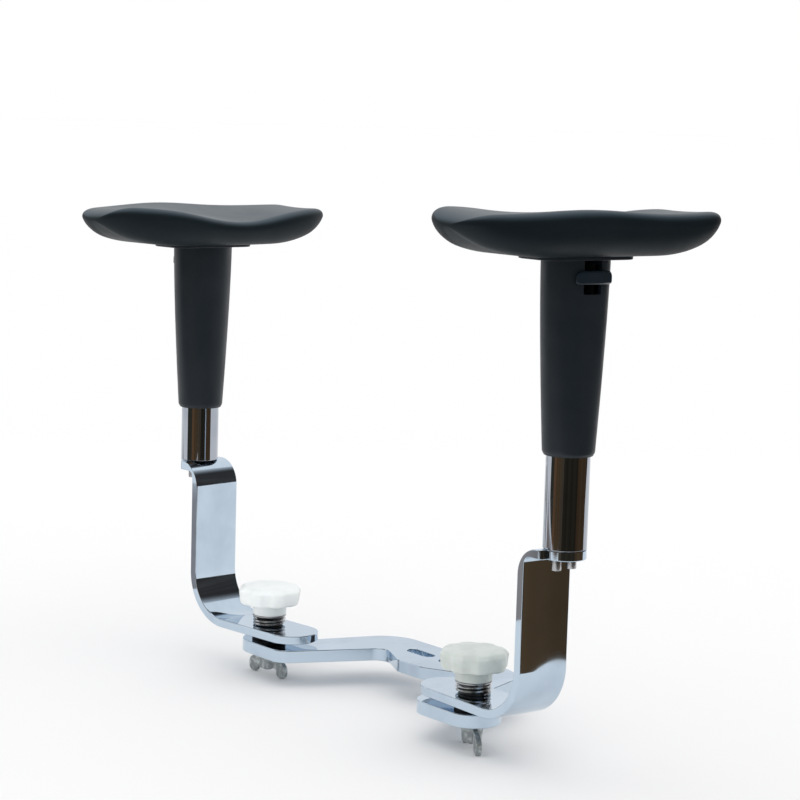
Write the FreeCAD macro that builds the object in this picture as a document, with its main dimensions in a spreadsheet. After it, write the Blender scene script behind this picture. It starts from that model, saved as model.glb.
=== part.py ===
import FreeCAD, Part
import math
import os

import Sketcher

# Pair of height-adjustable armrests on a swing-bracket set.
# Millimetres, +Z up, +X from the left arm to the right arm, +Y from front to back.
# The origin lies midway between the two bolt slots, on the underside of the link plate.

Vector = FreeCAD.Vector
UP = Vector(0, 0, 1)

doc = FreeCAD.newDocument("ArmrestPair")
sheet = doc.addObject("Spreadsheet::Sheet", "Sizes")

SIZES = (
    # Link plate
    ("link_thick", "12"),
    ("pivot_half_gap", "149"),
    ("pivot_setback", "85"),
    ("bar_wide", "50"),
    ("link_front_reach", "59"),
    ("link_neck_half", "55.5"),
    ("link_neck_drop", "15"),
    ("link_nose_half", "16"),
    ("link_nose_drop", "34"),
    ("link_back_half", "92"),
    ("link_back_flare", "30"),
    ("link_back_edge", "29"),
    ("link_corner_out", "40"),
    ("link_corner_in", "14"),
    ("link_corner_front", "18"),
    ("slot_half_gap", "23"),
    ("slot_long", "34"),
    ("slot_wide", "12.5"),
    # Clamp at each pivot
    ("stud_dia", "10"),
    ("run_fit", "0.08"),
    ("loose_fit", "0.3"),
    ("disc_dia", "32"),
    ("disc_high", "4.7"),
    ("coil_dia", "31"),
    ("coil_wire", "2.2"),
    ("coil_turns", "2.25"),
    ("left_coil_high", "8.6"),
    ("right_coil_high", "9.6"),
    ("coil_bush_high", "6.5"),
    ("coil_bush_gap", "0.5"),
    ("washer_thick", "1.2"),
    ("knob_dia", "60"),
    ("knob_head_high", "17"),
    ("knob_dome", "2.2"),
    ("hub_dia", "32"),
    ("hub_high", "9.5"),
    ("hub_edge", "1"),
    ("knob_edge", "4"),
    ("lobe_count", "8"),
    ("scallop_dia", "34"),
    ("scallop_deep", "2.2"),
    ("nut_hub_dia", "20"),
    ("nut_tip_dia", "16.5"),
    ("nut_washer_dia", "22"),
    ("nut_hub_high", "15.5"),
    ("nut_span", "52.5"),
    ("nut_high", "22.5"),
    ("wing_thick", "4.6"),
    ("wing_lobe_dia", "12.5"),
    ("wing_root", "2"),
    ("stud_tail", "1.5"),
    ("stud_edge", "1"),
    ("left_nut_turn", "4"),
    ("right_nut_turn", "-26"),
    # Bracket
    ("bar_thick", "8"),
    ("foot_inward", "58"),
    ("leg_out", "86.7"),
    ("post_out", "111.1"),
    ("tab_rise", "145.4"),
    ("foot_bend_in", "40"),
    ("tab_bend_in", "6"),
    ("tab_bend_out", "24"),
    ("tab_corner", "6"),
    ("tab_end_dia", "36"),
    ("left_swing", "4.6"),
    ("right_swing", "2.75"),
    ("bolt_dia", "6"),
    ("bolt_head_dia", "8.2"),
    ("bolt_head_high", "9.6"),
    ("bolt_head_edge", "0.6"),
    ("bolt_half_gap", "8"),
    ("bolt_end_room", "2"),
    # Post and sleeve
    ("tube_dia", "36"),
    ("tube_wall", "2"),
    ("tube_long", "146"),
    ("plug_high", "14"),
    ("left_raise", "52"),
    ("right_raise", "76"),
    ("sleeve_long", "157"),
    ("sleeve_wall", "1.6"),
    ("sleeve_top_x", "44.4"),
    ("sleeve_top_y", "62.5"),
    ("sleeve_swell", "1.5"),
    ("sleeve_roof", "3.5"),
    ("sleeve_lip", "3"),
    ("bush_wall", "1.52"),
    ("bush_long", "30"),
    ("channel_wide", "18"),
    ("channel_deep", "27"),
    ("stem_long", "148"),
    ("collet_long", "22"),
    ("rod_dia", "8"),
    ("rod_tail", "9"),
    ("cone_dia", "17"),
    ("cone_flat", "3"),
    ("cone_neck", "2"),
    ("cone_room", "1.5"),
    ("collet_split", "2"),
    # Trigger
    ("trigger_drop", "13.3"),
    ("trigger_travel", "3.5"),
    ("paddle_wide", "34.5"),
    ("paddle_high", "11"),
    ("paddle_thick", "5"),
    ("paddle_curve", "44"),
    ("paddle_edge", "2.2"),
    ("tongue_wide", "16"),
    ("tongue_high", "6"),
    ("tongue_room", "0.5"),
    ("return_coil_dia", "13"),
    ("return_wire", "0.8"),
    ("return_turns", "2"),
    # Pad
    ("plate_thick", "3"),
    ("plate_x", "50"),
    ("plate_y", "94"),
    ("plate_corner", "16"),
    ("screw_dia", "4"),
    ("screw_head_dia", "8"),
    ("screw_long", "14"),
    ("screw_half_gap", "25.4"),
    ("pad_long", "270"),
    ("pad_wide", "100"),
    ("pad_shift", "3.5"),
    ("pad_squareness", "3.4"),
    ("keel_wide", "52"),
    ("keel_long", "114"),
    ("keel_rise", "21"),
    ("rim_round", "6"),
    ("outer_rim", "33.3"),
    ("crest_rise", "4.5"),
    ("crest_forward", "27"),
    ("crest_spread", "60"),
    ("inner_rim", "37.5"),
    ("inner_dip", "14.5"),
    ("dip_back", "8"),
    ("dip_spread", "64"),
    ("inner_rear_fall", "6"),
    ("end_reach", "27"),
    ("front_fall", "7"),
    ("rear_fall", "2.5"),
    ("seat_dish", "1.2"),
    # Derived places
    ("foot_base", "=link_thick + disc_high + loose_fit"),
    ("foot_top", "=foot_base + bar_thick"),
    ("tab_top", "=foot_top + tab_rise"),
    ("left_turn", "=180 + left_swing"),
    ("right_turn", "=-right_swing"),
    ("left_pivot_x", "=-pivot_half_gap"),
    ("right_pivot_x", "=pivot_half_gap"),
    ("left_sleeve_base", "=tab_top + left_raise"),
    ("right_sleeve_base", "=tab_top + right_raise"),
    ("left_knob_base", "=foot_top + left_coil_high + washer_thick + 2 * loose_fit"),
    ("right_knob_base", "=foot_top + right_coil_high + washer_thick + 2 * loose_fit"),
    ("sleeve_bore_dia", "=tube_dia + 2 * run_fit + 2 * bush_wall"),
    ("sleeve_foot_dia", "=sleeve_bore_dia + 2 * sleeve_wall"),
    ("nut_top", "=-washer_thick - 2 * loose_fit"),
)

for row, (alias, text) in enumerate(SIZES, 1):
    sheet.set(f"A{row}", alias.replace("_", " "))
    sheet.set(f"B{row}", text)
    sheet.setAlias(f"B{row}", alias)
doc.recompute()

ALIASES = {alias for alias, text in SIZES}
SLEEVE_RINGS = 5
STRAIGHT = 1e-9
PAD_STATIONS = (-0.995, -0.95, -0.85, -0.66, -0.42, -0.2, 0, 0.2, 0.42, 0.66, 0.85, 0.95, 0.995)
pieces = {}


def size(alias):
    """Value of one named size."""
    return float(sheet.get(alias))


def tied(expression):
    """Expression on the sheet, from plain names of sizes."""
    words = []
    word = ""
    for char in expression + " ":
        if char.isalnum() or char == "_":
            word += char
            continue
        words.append("Sizes." + word if word in ALIASES else word)
        words.append(char)
        word = ""
    return "".join(words).strip()


def bind(thing, **expressions):
    """Ties properties of a document object to the sheet."""
    for name, expression in expressions.items():
        thing.setExpression(name.replace("__", "."), tied(expression))
    return thing


def new_body(name):
    return doc.addObject("PartDesign::Body", name)


def new_sketch(body, role, lift="0"):
    """Sketch on one of the body's own planes, lifted along its normal."""
    plane = [item for item in body.Origin.OriginFeatures if item.Role == role][0]
    sketch = body.newObject("Sketcher::SketchObject", "Outline")
    sketch.AttachmentSupport = [(plane, "")]
    sketch.MapMode = "FlatFace"
    sketch.setExpression("AttachmentOffset.Base.z", tied(lift))
    return sketch


def pin_point(sketch, shape, end, x, y):
    """Holds a point of the sketch at tied coordinates."""
    for kind, axis, expression in (("DistanceX", -2, x), ("DistanceY", -1, y)):
        value = float(sketch.evalExpression(tied(expression)))
        if expression == "0":
            sketch.addConstraint(Sketcher.Constraint("PointOnObject", shape, end, axis))
            continue
        held = sketch.addConstraint(Sketcher.Constraint(kind, -1, 1, shape, end, value))
        sketch.setExpression(f"Constraints[{held}]", tied(expression))


def draw_polygon(sketch, corners):
    """Closed outline of straight lines through tied corners."""
    spots = [[float(sketch.evalExpression(tied(part))) for part in corner] for corner in corners]
    count = len(spots)
    first = sketch.GeometryCount
    for index, spot in enumerate(spots):
        after = spots[(index + 1) % count]
        sketch.addGeometry(Part.LineSegment(Vector(*spot, 0), Vector(*after, 0)), False)
    for index in range(count):
        pair = (first + index, 2, first + (index + 1) % count, 1)
        sketch.addConstraint(Sketcher.Constraint("Coincident", *pair))
    for index, corner in enumerate(corners):
        pin_point(sketch, first + index, 1, *corner)


def draw_circle(sketch, x, y, radius):
    """Circle with a tied centre and radius."""
    spot = [float(sketch.evalExpression(tied(part))) for part in (x, y, radius)]
    shape = sketch.addGeometry(Part.Circle(Vector(spot[0], spot[1], 0), UP, spot[2]), False)
    pin_point(sketch, shape, 3, x, y)
    held = sketch.addConstraint(Sketcher.Constraint("Radius", shape, spot[2]))
    sketch.setExpression(f"Constraints[{held}]", tied(radius))


def raise_pad(body, sketch, length, midplane=False):
    pad = body.newObject("PartDesign::Pad", "Raised")
    pad.Profile = sketch
    if midplane:
        pad.SideType = "Symmetric"
    bind(pad, Length=length)
    doc.recompute()
    return pad


def sink_pocket(body, sketch, length=None, midplane=False):
    pocket = body.newObject("PartDesign::Pocket", "Sunk")
    pocket.Profile = sketch
    if midplane:
        pocket.SideType = "Symmetric"
    if length is None:
        pocket.Type = "ThroughAll"
    else:
        bind(pocket, Length=length)
    doc.recompute()
    return pocket


def turn_profile(body, corners):
    """Solid of revolution about the body's Z axis, from a half profile of (radius, height)."""
    sketch = new_sketch(body, "XZ_Plane")
    draw_polygon(sketch, corners)
    turned = body.newObject("PartDesign::Revolution", "Turned")
    turned.Profile = sketch
    turned.ReferenceAxis = (sketch, ["V_Axis"])
    turned.Angle = 360
    doc.recompute()
    return turned


def round_edges(body, radius, choose):
    """Fillet on the edges of the body that a test picks."""
    base = body.Tip
    names = [f"Edge{i}" for i, edge in enumerate(base.Shape.Edges, 1) if choose(edge)]
    fillet = body.newObject("PartDesign::Fillet", "Rounded")
    fillet.Base = (base, names)
    bind(fillet, Radius=radius)
    doc.recompute()
    return fillet


def middle(edge):
    return edge.valueAt((edge.FirstParameter + edge.LastParameter) / 2)


def is_upright(edge):
    return len(edge.Vertexes) == 2 and abs(edge.tangentAt(edge.FirstParameter).z) > 0.999


def near(value, target, slack=0.01):
    return abs(value - target) < slack


def keep(name, thing, side=None, out="0", along="0", lift="0", turn="0"):
    """Names a piece and seats it on its arm, or at the origin when it has no side.

    Args:
        name: file name of the piece.
        thing: finished document object, built about its own axes.
        side: left or right arm, whose pivot and swing carry the piece.
        out: distance from the pivot to the piece, towards the post.
        along: distance across the bar.
        lift: height of the piece's origin.
        turn: further turn about Z.
    """
    thing.Label = name
    pieces[name] = thing
    if side is None:
        return
    swing = f"{side}_turn"
    thing.Placement = FreeCAD.Placement(Vector(), FreeCAD.Rotation(UP, 1))
    bind(
        thing,
        Placement__Base__x=f"{side}_pivot_x + ({out}) * cos({swing}) - ({along}) * sin({swing})",
        Placement__Base__y=f"-pivot_setback + ({out}) * sin({swing}) + ({along}) * cos({swing})",
        Placement__Base__z=lift,
        Placement__Rotation__Angle=f"{swing} + {turn}",
    )


def ends_of(side):
    """Signs of the front and rear along the arm's own Y axis, which is turned round on the left."""
    return (("front", "-"), ("rear", "")) if side == "right" else (("front", ""), ("rear", "-"))


def make_link_plate():
    """Bow-shaped plate under both pivots, with two slots for the chair's bolts."""
    body = new_body("link_plate")
    sketch = new_sketch(body, "XY_Plane")
    front = "-pivot_setback - bar_wide / 2"
    behind = "-pivot_setback + bar_wide / 2"
    right = [
        ("pivot_half_gap", front),
        ("pivot_half_gap", behind),
        ("link_back_half + link_back_flare", behind),
        ("link_back_half", "link_back_edge"),
    ]
    left = [(f"-({x})", y) for x, y in reversed(right)]
    inner_right = [
        ("pivot_half_gap - link_front_reach", front),
        ("link_neck_half", "-link_neck_drop"),
        ("link_nose_half", "-link_nose_drop"),
    ]
    inner_left = [(f"-({x})", y) for x, y in inner_right]
    draw_polygon(sketch, right + left + inner_left + list(reversed(inner_right)))
    raise_pad(body, sketch, "link_thick")
    for sign in ("", "-"):
        end = new_sketch(body, "XY_Plane")
        draw_circle(end, f"{sign}pivot_half_gap", "-pivot_setback", "bar_wide / 2")
        raise_pad(body, end, "link_thick")
    round_edges(body, "link_corner_out", lambda edge: is_upright(edge)
                and near(middle(edge).y, size("link_back_edge")))
    reach = size("pivot_half_gap") - size("link_front_reach")
    round_edges(body, "link_corner_front", lambda edge: is_upright(edge)
                and near(abs(middle(edge).x), reach) and middle(edge).y < -size("pivot_setback"))
    bend = size("link_back_half") + size("link_back_flare")
    round_edges(body, "link_corner_in", lambda edge: is_upright(edge)
                and (near(abs(middle(edge).x), bend) or near(middle(edge).y, -size("link_neck_drop"))
                     or near(middle(edge).y, -size("link_nose_drop"))))
    cuts = new_sketch(body, "XY_Plane")
    for sign in ("", "-"):
        draw_circle(cuts, f"{sign}pivot_half_gap", "-pivot_setback", "stud_dia / 2 + run_fit")
    cut = sink_pocket(body, cuts)
    cut.SideType = "Symmetric"
    for sign in ("", "-"):
        slot = new_sketch(body, "XY_Plane")
        reach_in = f"{sign}slot_half_gap - (slot_long - slot_wide) / 2"
        reach_out = f"{sign}slot_half_gap + (slot_long - slot_wide) / 2"
        draw_polygon(slot, (
            (reach_in, "-slot_wide / 2"),
            (reach_out, "-slot_wide / 2"),
            (reach_out, "slot_wide / 2"),
            (reach_in, "slot_wide / 2"),
        ))
        sink_pocket(body, slot).SideType = "Symmetric"
        for end in (reach_in, reach_out):
            tip = new_sketch(body, "XY_Plane")
            draw_circle(tip, end, "0", "slot_wide / 2")
            sink_pocket(body, tip).SideType = "Symmetric"
    doc.recompute()
    keep("link_plate", body)


def make_ring(name, outer, inner, high):
    """Plain turned ring from the XY plane up."""
    body = new_body(name)
    turn_profile(body, ((inner, "0"), (outer, "0"), (outer, high), (inner, high)))
    return body


def make_bracket(side):
    """Flat bar bent to a Z: round foot end, upright leg and top tab with a narrower round end."""
    body = new_body(f"{side}_bracket")
    side_view = new_sketch(body, "XZ_Plane")
    inside = "leg_out - bar_thick / 2"
    outside = "leg_out + bar_thick / 2"
    straight = "-foot_inward + bar_wide / 2"
    top = "bar_thick + tab_rise"
    draw_polygon(side_view, (
        (straight, "0"),
        (outside, "0"),
        (outside, "tab_rise"),
        ("post_out", "tab_rise"),
        ("post_out", top),
        (inside, top),
        (inside, "bar_thick"),
        (straight, "bar_thick"),
    ))
    raise_pad(body, side_view, "bar_wide", midplane=True)
    foot_in = size("leg_out") - size("bar_thick") / 2
    foot_out = size("leg_out") + size("bar_thick") / 2
    high = size("bar_thick") + size("tab_rise")

    def across(edge, x, z):
        spot = middle(edge)
        return near(spot.y, 0) and near(spot.x, x) and near(spot.z, z)

    def shoulder(spot):
        return near(spot.x, size("post_out")) and near(abs(spot.y), size("bar_wide") / 2)

    round_edges(body, "foot_bend_in", lambda edge: across(edge, foot_in, size("bar_thick")))
    round_edges(body, "foot_bend_in + bar_thick", lambda edge: across(edge, foot_out, 0))
    round_edges(body, "tab_bend_in", lambda edge: across(edge, foot_out, size("tab_rise")))
    round_edges(body, "tab_bend_out", lambda edge: across(edge, foot_in, high))
    round_edges(body, "tab_corner", lambda edge: shoulder(middle(edge)))
    foot_end = new_sketch(body, "XY_Plane")
    draw_circle(foot_end, straight, "0", "bar_wide / 2")
    raise_pad(body, foot_end, "bar_thick")
    tab_end = new_sketch(body, "XY_Plane", "tab_rise")
    draw_circle(tab_end, "post_out", "0", "tab_end_dia / 2")
    raise_pad(body, tab_end, "bar_thick")
    pivot = new_sketch(body, "XY_Plane", "bar_thick")
    draw_circle(pivot, "0", "0", "stud_dia / 2 + run_fit")
    sink_pocket(body, pivot, "bar_thick")
    bolts = new_sketch(body, "XY_Plane", top)
    for sign in ("", "-"):
        draw_circle(bolts, "post_out", f"{sign}bolt_half_gap", "bolt_dia / 2 + run_fit")
    sink_pocket(body, bolts, "bar_thick")
    keep(f"{side}_bracket", body, side, lift="foot_base")


def make_post(side):
    """Tube on the tab, its plug and the two bolts from below."""
    tube = make_ring(f"{side}_post_tube", "tube_dia / 2", "tube_dia / 2 - tube_wall", "tube_long")
    keep(f"{side}_post_tube", tube, side, out="post_out", lift="tab_top")
    plug = new_body(f"{side}_post_plug")
    disc = new_sketch(plug, "XY_Plane")
    draw_circle(disc, "0", "0", "tube_dia / 2 - tube_wall - run_fit")
    for sign in ("", "-"):
        draw_circle(disc, "0", f"{sign}bolt_half_gap", "bolt_dia / 2 + run_fit")
    raise_pad(plug, disc, "plug_high")
    keep(f"{side}_post_plug", plug, side, out="post_out", lift="tab_top")
    for word, sign in ends_of(side):
        bolt = new_body(f"{side}_tab_bolt_{word}")
        turn_profile(bolt, (
            ("0", "-bolt_head_high / 3"),
            ("bolt_dia / 4", "-bolt_head_high * 2 / 3"),
            ("bolt_dia / 4", "-bolt_head_high"),
            ("bolt_head_dia / 2 - bolt_head_edge", "-bolt_head_high"),
            ("bolt_head_dia / 2", "-bolt_head_high + bolt_head_edge"),
            ("bolt_head_dia / 2", "0"),
            ("bolt_dia / 2", "0"),
            ("bolt_dia / 2", "bar_thick + plug_high - bolt_end_room"),
            ("0", "bar_thick + plug_high - bolt_end_room"),
        ))
        keep(bolt.Name, bolt, side, out="post_out", along=f"{sign}bolt_half_gap", lift="tab_top - bar_thick")


def make_sleeve(side):
    """Oval tapered cover with a round bore, a roof and a channel for the trigger."""
    rings = []
    for step in range(SLEEVE_RINGS):
        share = step / (SLEEVE_RINGS - 1)
        swell = 1 - (1 - share) ** size("sleeve_swell")
        ring = doc.addObject("Part::Ellipse", f"{side}_sleeve_ring")
        ring.Placement = FreeCAD.Placement(Vector(), FreeCAD.Rotation(UP, 90))
        bind(
            ring,
            MajorRadius=f"sleeve_foot_dia / 2 + (sleeve_top_y - sleeve_foot_dia) / 2 * {swell:.4f}",
            MinorRadius=f"sleeve_foot_dia / 2 + (sleeve_top_x - sleeve_foot_dia) / 2 * {share:.4f}",
            Placement__Base__z=f"sleeve_long * {share:.4f}",
        )
        rings.append(ring)
    skin = doc.addObject("Part::Loft", f"{side}_sleeve_skin")
    skin.Sections = rings
    skin.Solid = True
    doc.recompute()
    lipped = doc.addObject("Part::Fillet", f"{side}_sleeve_lipped")
    lipped.Base = skin
    lip = size("sleeve_lip")
    lipped.Edges = [
        (i, lip, lip) for i, edge in enumerate(skin.Shape.Edges, 1)
        if near(edge.BoundBox.ZMax, 0) and near(edge.BoundBox.ZMin, 0)
    ]
    bore = doc.addObject("Part::Cylinder", f"{side}_sleeve_bore")
    bind(bore, Radius="sleeve_bore_dia / 2", Height="sleeve_long - sleeve_roof")
    channel = doc.addObject("Part::Box", f"{side}_sleeve_channel")
    bind(
        channel,
        Length="sleeve_top_x",
        Width="channel_wide",
        Height="channel_deep",
        Placement__Base__y="-channel_wide / 2",
        Placement__Base__z="sleeve_long - channel_deep",
    )
    threads = []
    for word, sign in ends_of(side):
        thread = doc.addObject("Part::Cylinder", f"{side}_sleeve_thread_{word}")
        bind(
            thread,
            Radius="screw_dia / 2 + run_fit",
            Height="screw_long",
            Placement__Base__y=f"{sign}screw_half_gap",
            Placement__Base__z="sleeve_long - screw_long",
        )
        threads.append(thread)
    holes = doc.addObject("Part::MultiFuse", f"{side}_sleeve_holes")
    holes.Shapes = [bore, channel] + threads
    sleeve = doc.addObject("Part::Cut", f"{side}_sleeve")
    sleeve.Base = lipped
    sleeve.Tool = holes
    doc.recompute()
    keep(f"{side}_sleeve", sleeve, side, out="post_out", lift=f"{side}_sleeve_base")
    bush = make_ring(f"{side}_guide_bush", "sleeve_bore_dia / 2", "tube_dia / 2 + run_fit", "bush_long")
    keep(f"{side}_guide_bush", bush, side, out="post_out", lift=f"{side}_sleeve_base")


def make_lock(side):
    """Inner stem, brake collet and release rod inside the tube."""
    slide = "tube_dia / 2 - tube_wall - run_fit"
    roof = f"{side}_sleeve_base + sleeve_long - sleeve_roof"
    room = "loose_fit + cone_flat + cone_neck + trigger_travel + cone_room"
    stem = new_body(f"{side}_inner_stem")
    turn_profile(stem, (
        ("rod_dia / 2 + loose_fit", "0"),
        (slide, "0"),
        (slide, "-stem_long + collet_long"),
        ("cone_dia / 2 + cone_room", "-stem_long + collet_long"),
        ("cone_dia / 2 + cone_room", f"-stem_long + collet_long + {room}"),
        ("rod_dia / 2 + loose_fit", f"-stem_long + collet_long + {room} + cone_neck"),
    ))
    gap = new_sketch(stem, "XZ_Plane")
    draw_polygon(gap, (
        ("-tongue_wide / 2 - tongue_room", "0"),
        ("tube_dia", "0"),
        ("tube_dia", "-channel_deep + sleeve_roof"),
        ("-tongue_wide / 2 - tongue_room", "-channel_deep + sleeve_roof"),
    ))
    sink_pocket(stem, gap, "tongue_wide + 2 * tongue_room", midplane=True)
    keep(stem.Name, stem, side, out="post_out", lift=roof)
    collet = new_body(f"{side}_brake_collet")
    turn_profile(collet, (
        ("rod_dia / 2 + loose_fit", "-collet_long"),
        (slide, "-collet_long"),
        (slide, "0"),
        ("cone_dia / 2 + loose_fit", "0"),
        ("rod_dia / 2 + loose_fit", "-collet_long / 2"),
    ))
    split = new_sketch(collet, "XY_Plane")
    draw_polygon(split, (
        ("0", "-collet_split / 2"),
        ("tube_dia", "-collet_split / 2"),
        ("tube_dia", "collet_split / 2"),
        ("0", "collet_split / 2"),
    ))
    sink_pocket(collet, split, "collet_long")
    keep(collet.Name, collet, side, out="post_out", lift=f"{roof} - stem_long + collet_long")
    rod = new_body(f"{side}_release_rod")
    foot = "trigger_drop - sleeve_roof - stem_long + collet_long + tongue_high / 2"
    turn_profile(rod, (
        ("0", f"{foot} - collet_long / 2 - rod_tail"),
        ("rod_dia / 2", f"{foot} - collet_long / 2 - rod_tail"),
        ("rod_dia / 2", f"{foot} - collet_long / 2 + loose_fit"),
        ("cone_dia / 2", f"{foot} + loose_fit"),
        ("cone_dia / 2", f"{foot} + loose_fit + cone_flat"),
        ("rod_dia / 2", f"{foot} + loose_fit + cone_flat + cone_neck"),
        ("rod_dia / 2", "0"),
        ("0", "0"),
    ))
    keep(rod.Name, rod, side, out="post_out",
         lift=f"{side}_sleeve_base + sleeve_long - trigger_drop - tongue_high / 2")


def make_trigger(side):
    """Curved paddle outside the sleeve, on a tongue that reaches in to the release rod."""
    middle_z = f"{side}_sleeve_base + sleeve_long - trigger_drop"
    centre = "sleeve_top_x / 2 + loose_fit - paddle_curve"
    outer = doc.addObject("Part::Cylinder", f"{side}_paddle_outer")
    bind(outer, Radius="paddle_curve + paddle_thick", Height="paddle_high")
    inner = doc.addObject("Part::Cylinder", f"{side}_paddle_inner")
    bind(inner, Radius="paddle_curve", Height="paddle_high")
    band = doc.addObject("Part::Cut", f"{side}_paddle_band")
    band.Base = outer
    band.Tool = inner
    window = doc.addObject("Part::Box", f"{side}_paddle_window")
    bind(
        window,
        Length="paddle_curve + paddle_thick",
        Width="paddle_wide",
        Height="paddle_high",
        Placement__Base__y="-paddle_wide / 2",
    )
    paddle = doc.addObject("Part::Common", f"{side}_paddle")
    paddle.Base = band
    paddle.Tool = window
    doc.recompute()
    soft = doc.addObject("Part::Fillet", f"{side}_paddle_soft")
    soft.Base = paddle
    reach = size("paddle_curve") + size("paddle_thick")
    bend = size("paddle_edge")
    soft.Edges = [
        (i, bend, bend) for i, edge in enumerate(paddle.Shape.Edges, 1)
        if math.hypot(middle(edge).x, middle(edge).y) > reach - 0.01
    ]
    bind(soft, Placement__Base__x=centre, Placement__Base__z="-paddle_high / 2")
    tongue = doc.addObject("Part::Box", f"{side}_tongue")
    bind(
        tongue,
        Length="sleeve_top_x / 2 + loose_fit + paddle_thick / 2 + tongue_wide / 2",
        Width="tongue_wide",
        Height="tongue_high",
        Placement__Base__x="-tongue_wide / 2",
        Placement__Base__y="-tongue_wide / 2",
        Placement__Base__z="-tongue_high / 2",
    )
    trigger = doc.addObject("Part::MultiFuse", f"{side}_trigger")
    trigger.Shapes = [soft, tongue]
    doc.recompute()
    keep(f"{side}_trigger", trigger, side, out="post_out", lift=middle_z)


def arc_mid(start, heading, finish):
    """Middle point of the circular arc that leaves start along heading and ends at finish."""
    chord = finish - start
    lean = heading - chord * (heading.dot(chord) / chord.dot(chord))
    angle = math.atan2(lean.Length, heading.dot(chord) / chord.Length)
    if lean.Length < STRAIGHT:
        return (start + finish) * 0.5
    return (start + finish) * 0.5 + lean * (chord.Length / 2 * math.tan(angle / 2) / lean.Length)


def make_coil(name, outer, wire, turns, high):
    """Open coil of round wire that stands on the XY plane, one tube along biarcs.

    Args:
        name: label of the piece.
        outer: outer diameter.
        wire: wire diameter.
        turns: number of turns.
        high: overall height.
    """
    radius = (outer - wire) / 2
    climb = (high - wire) / turns
    quarters = int(round(turns * 4))

    def spot(turn):
        angle = 2 * math.pi * turn
        return Vector(radius * math.cos(angle), radius * math.sin(angle), wire / 2 + climb * turn)

    def heading(turn):
        angle = 2 * math.pi * turn
        way = Vector(-radius * math.sin(angle), radius * math.cos(angle), climb / (2 * math.pi))
        return way.normalize()

    edges = []
    for quarter in range(quarters):
        start, finish = quarter * turns / quarters, (quarter + 1) * turns / quarters
        first, last = spot(start), spot(finish)
        leave, arrive = heading(start), heading(finish)
        chord = last - first
        lead = chord.dot(leave + arrive)
        spread = 2 * (1 - leave.dot(arrive))
        reach = (math.sqrt(lead ** 2 + spread * chord.dot(chord)) - lead) / spread
        joint = (first + leave * reach + last - arrive * reach) * 0.5
        onward = (last - arrive * reach - joint).normalize()
        edges.append(Part.Arc(first, arc_mid(first, leave, joint), joint).toShape())
        edges.append(Part.Arc(joint, arc_mid(joint, onward, last), last).toShape())
    path = Part.Wire(edges)
    ring = Part.Wire([Part.makeCircle(wire / 2, spot(0), heading(0))])
    solid = path.makePipeShell([ring], True, False)
    steps = 48
    points = [spot(i / steps) for i in range(int(turns * steps) + 1)]
    least = min(
        (points[i] - points[j]).Length
        for i in range(len(points)) for j in range(i + steps // 2, len(points))
    )
    print(f"{name}: least gap between turns {least - wire:.2f} mm")
    coil = doc.addObject("Part::Feature", name)
    coil.Shape = solid
    return coil


def make_springs(side):
    """Bare coil of the clamp and the hidden return coil of the trigger."""
    clamp = make_coil(f"{side}_clamp_spring", size("coil_dia"), size("coil_wire"), size("coil_turns"),
                      size(f"{side}_coil_high"))
    keep(clamp.Name, clamp, side, lift="foot_top + loose_fit / 2")
    room = size("trigger_drop") - size("tongue_high") / 2 - size("sleeve_roof") - 2 * size("loose_fit")
    back = make_coil(f"{side}_trigger_spring", size("return_coil_dia"), size("return_wire"),
                     size("return_turns"), room)
    keep(back.Name, back, side, out="post_out",
         lift=f"{side}_sleeve_base + sleeve_long - trigger_drop + tongue_high / 2 + loose_fit")


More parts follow.
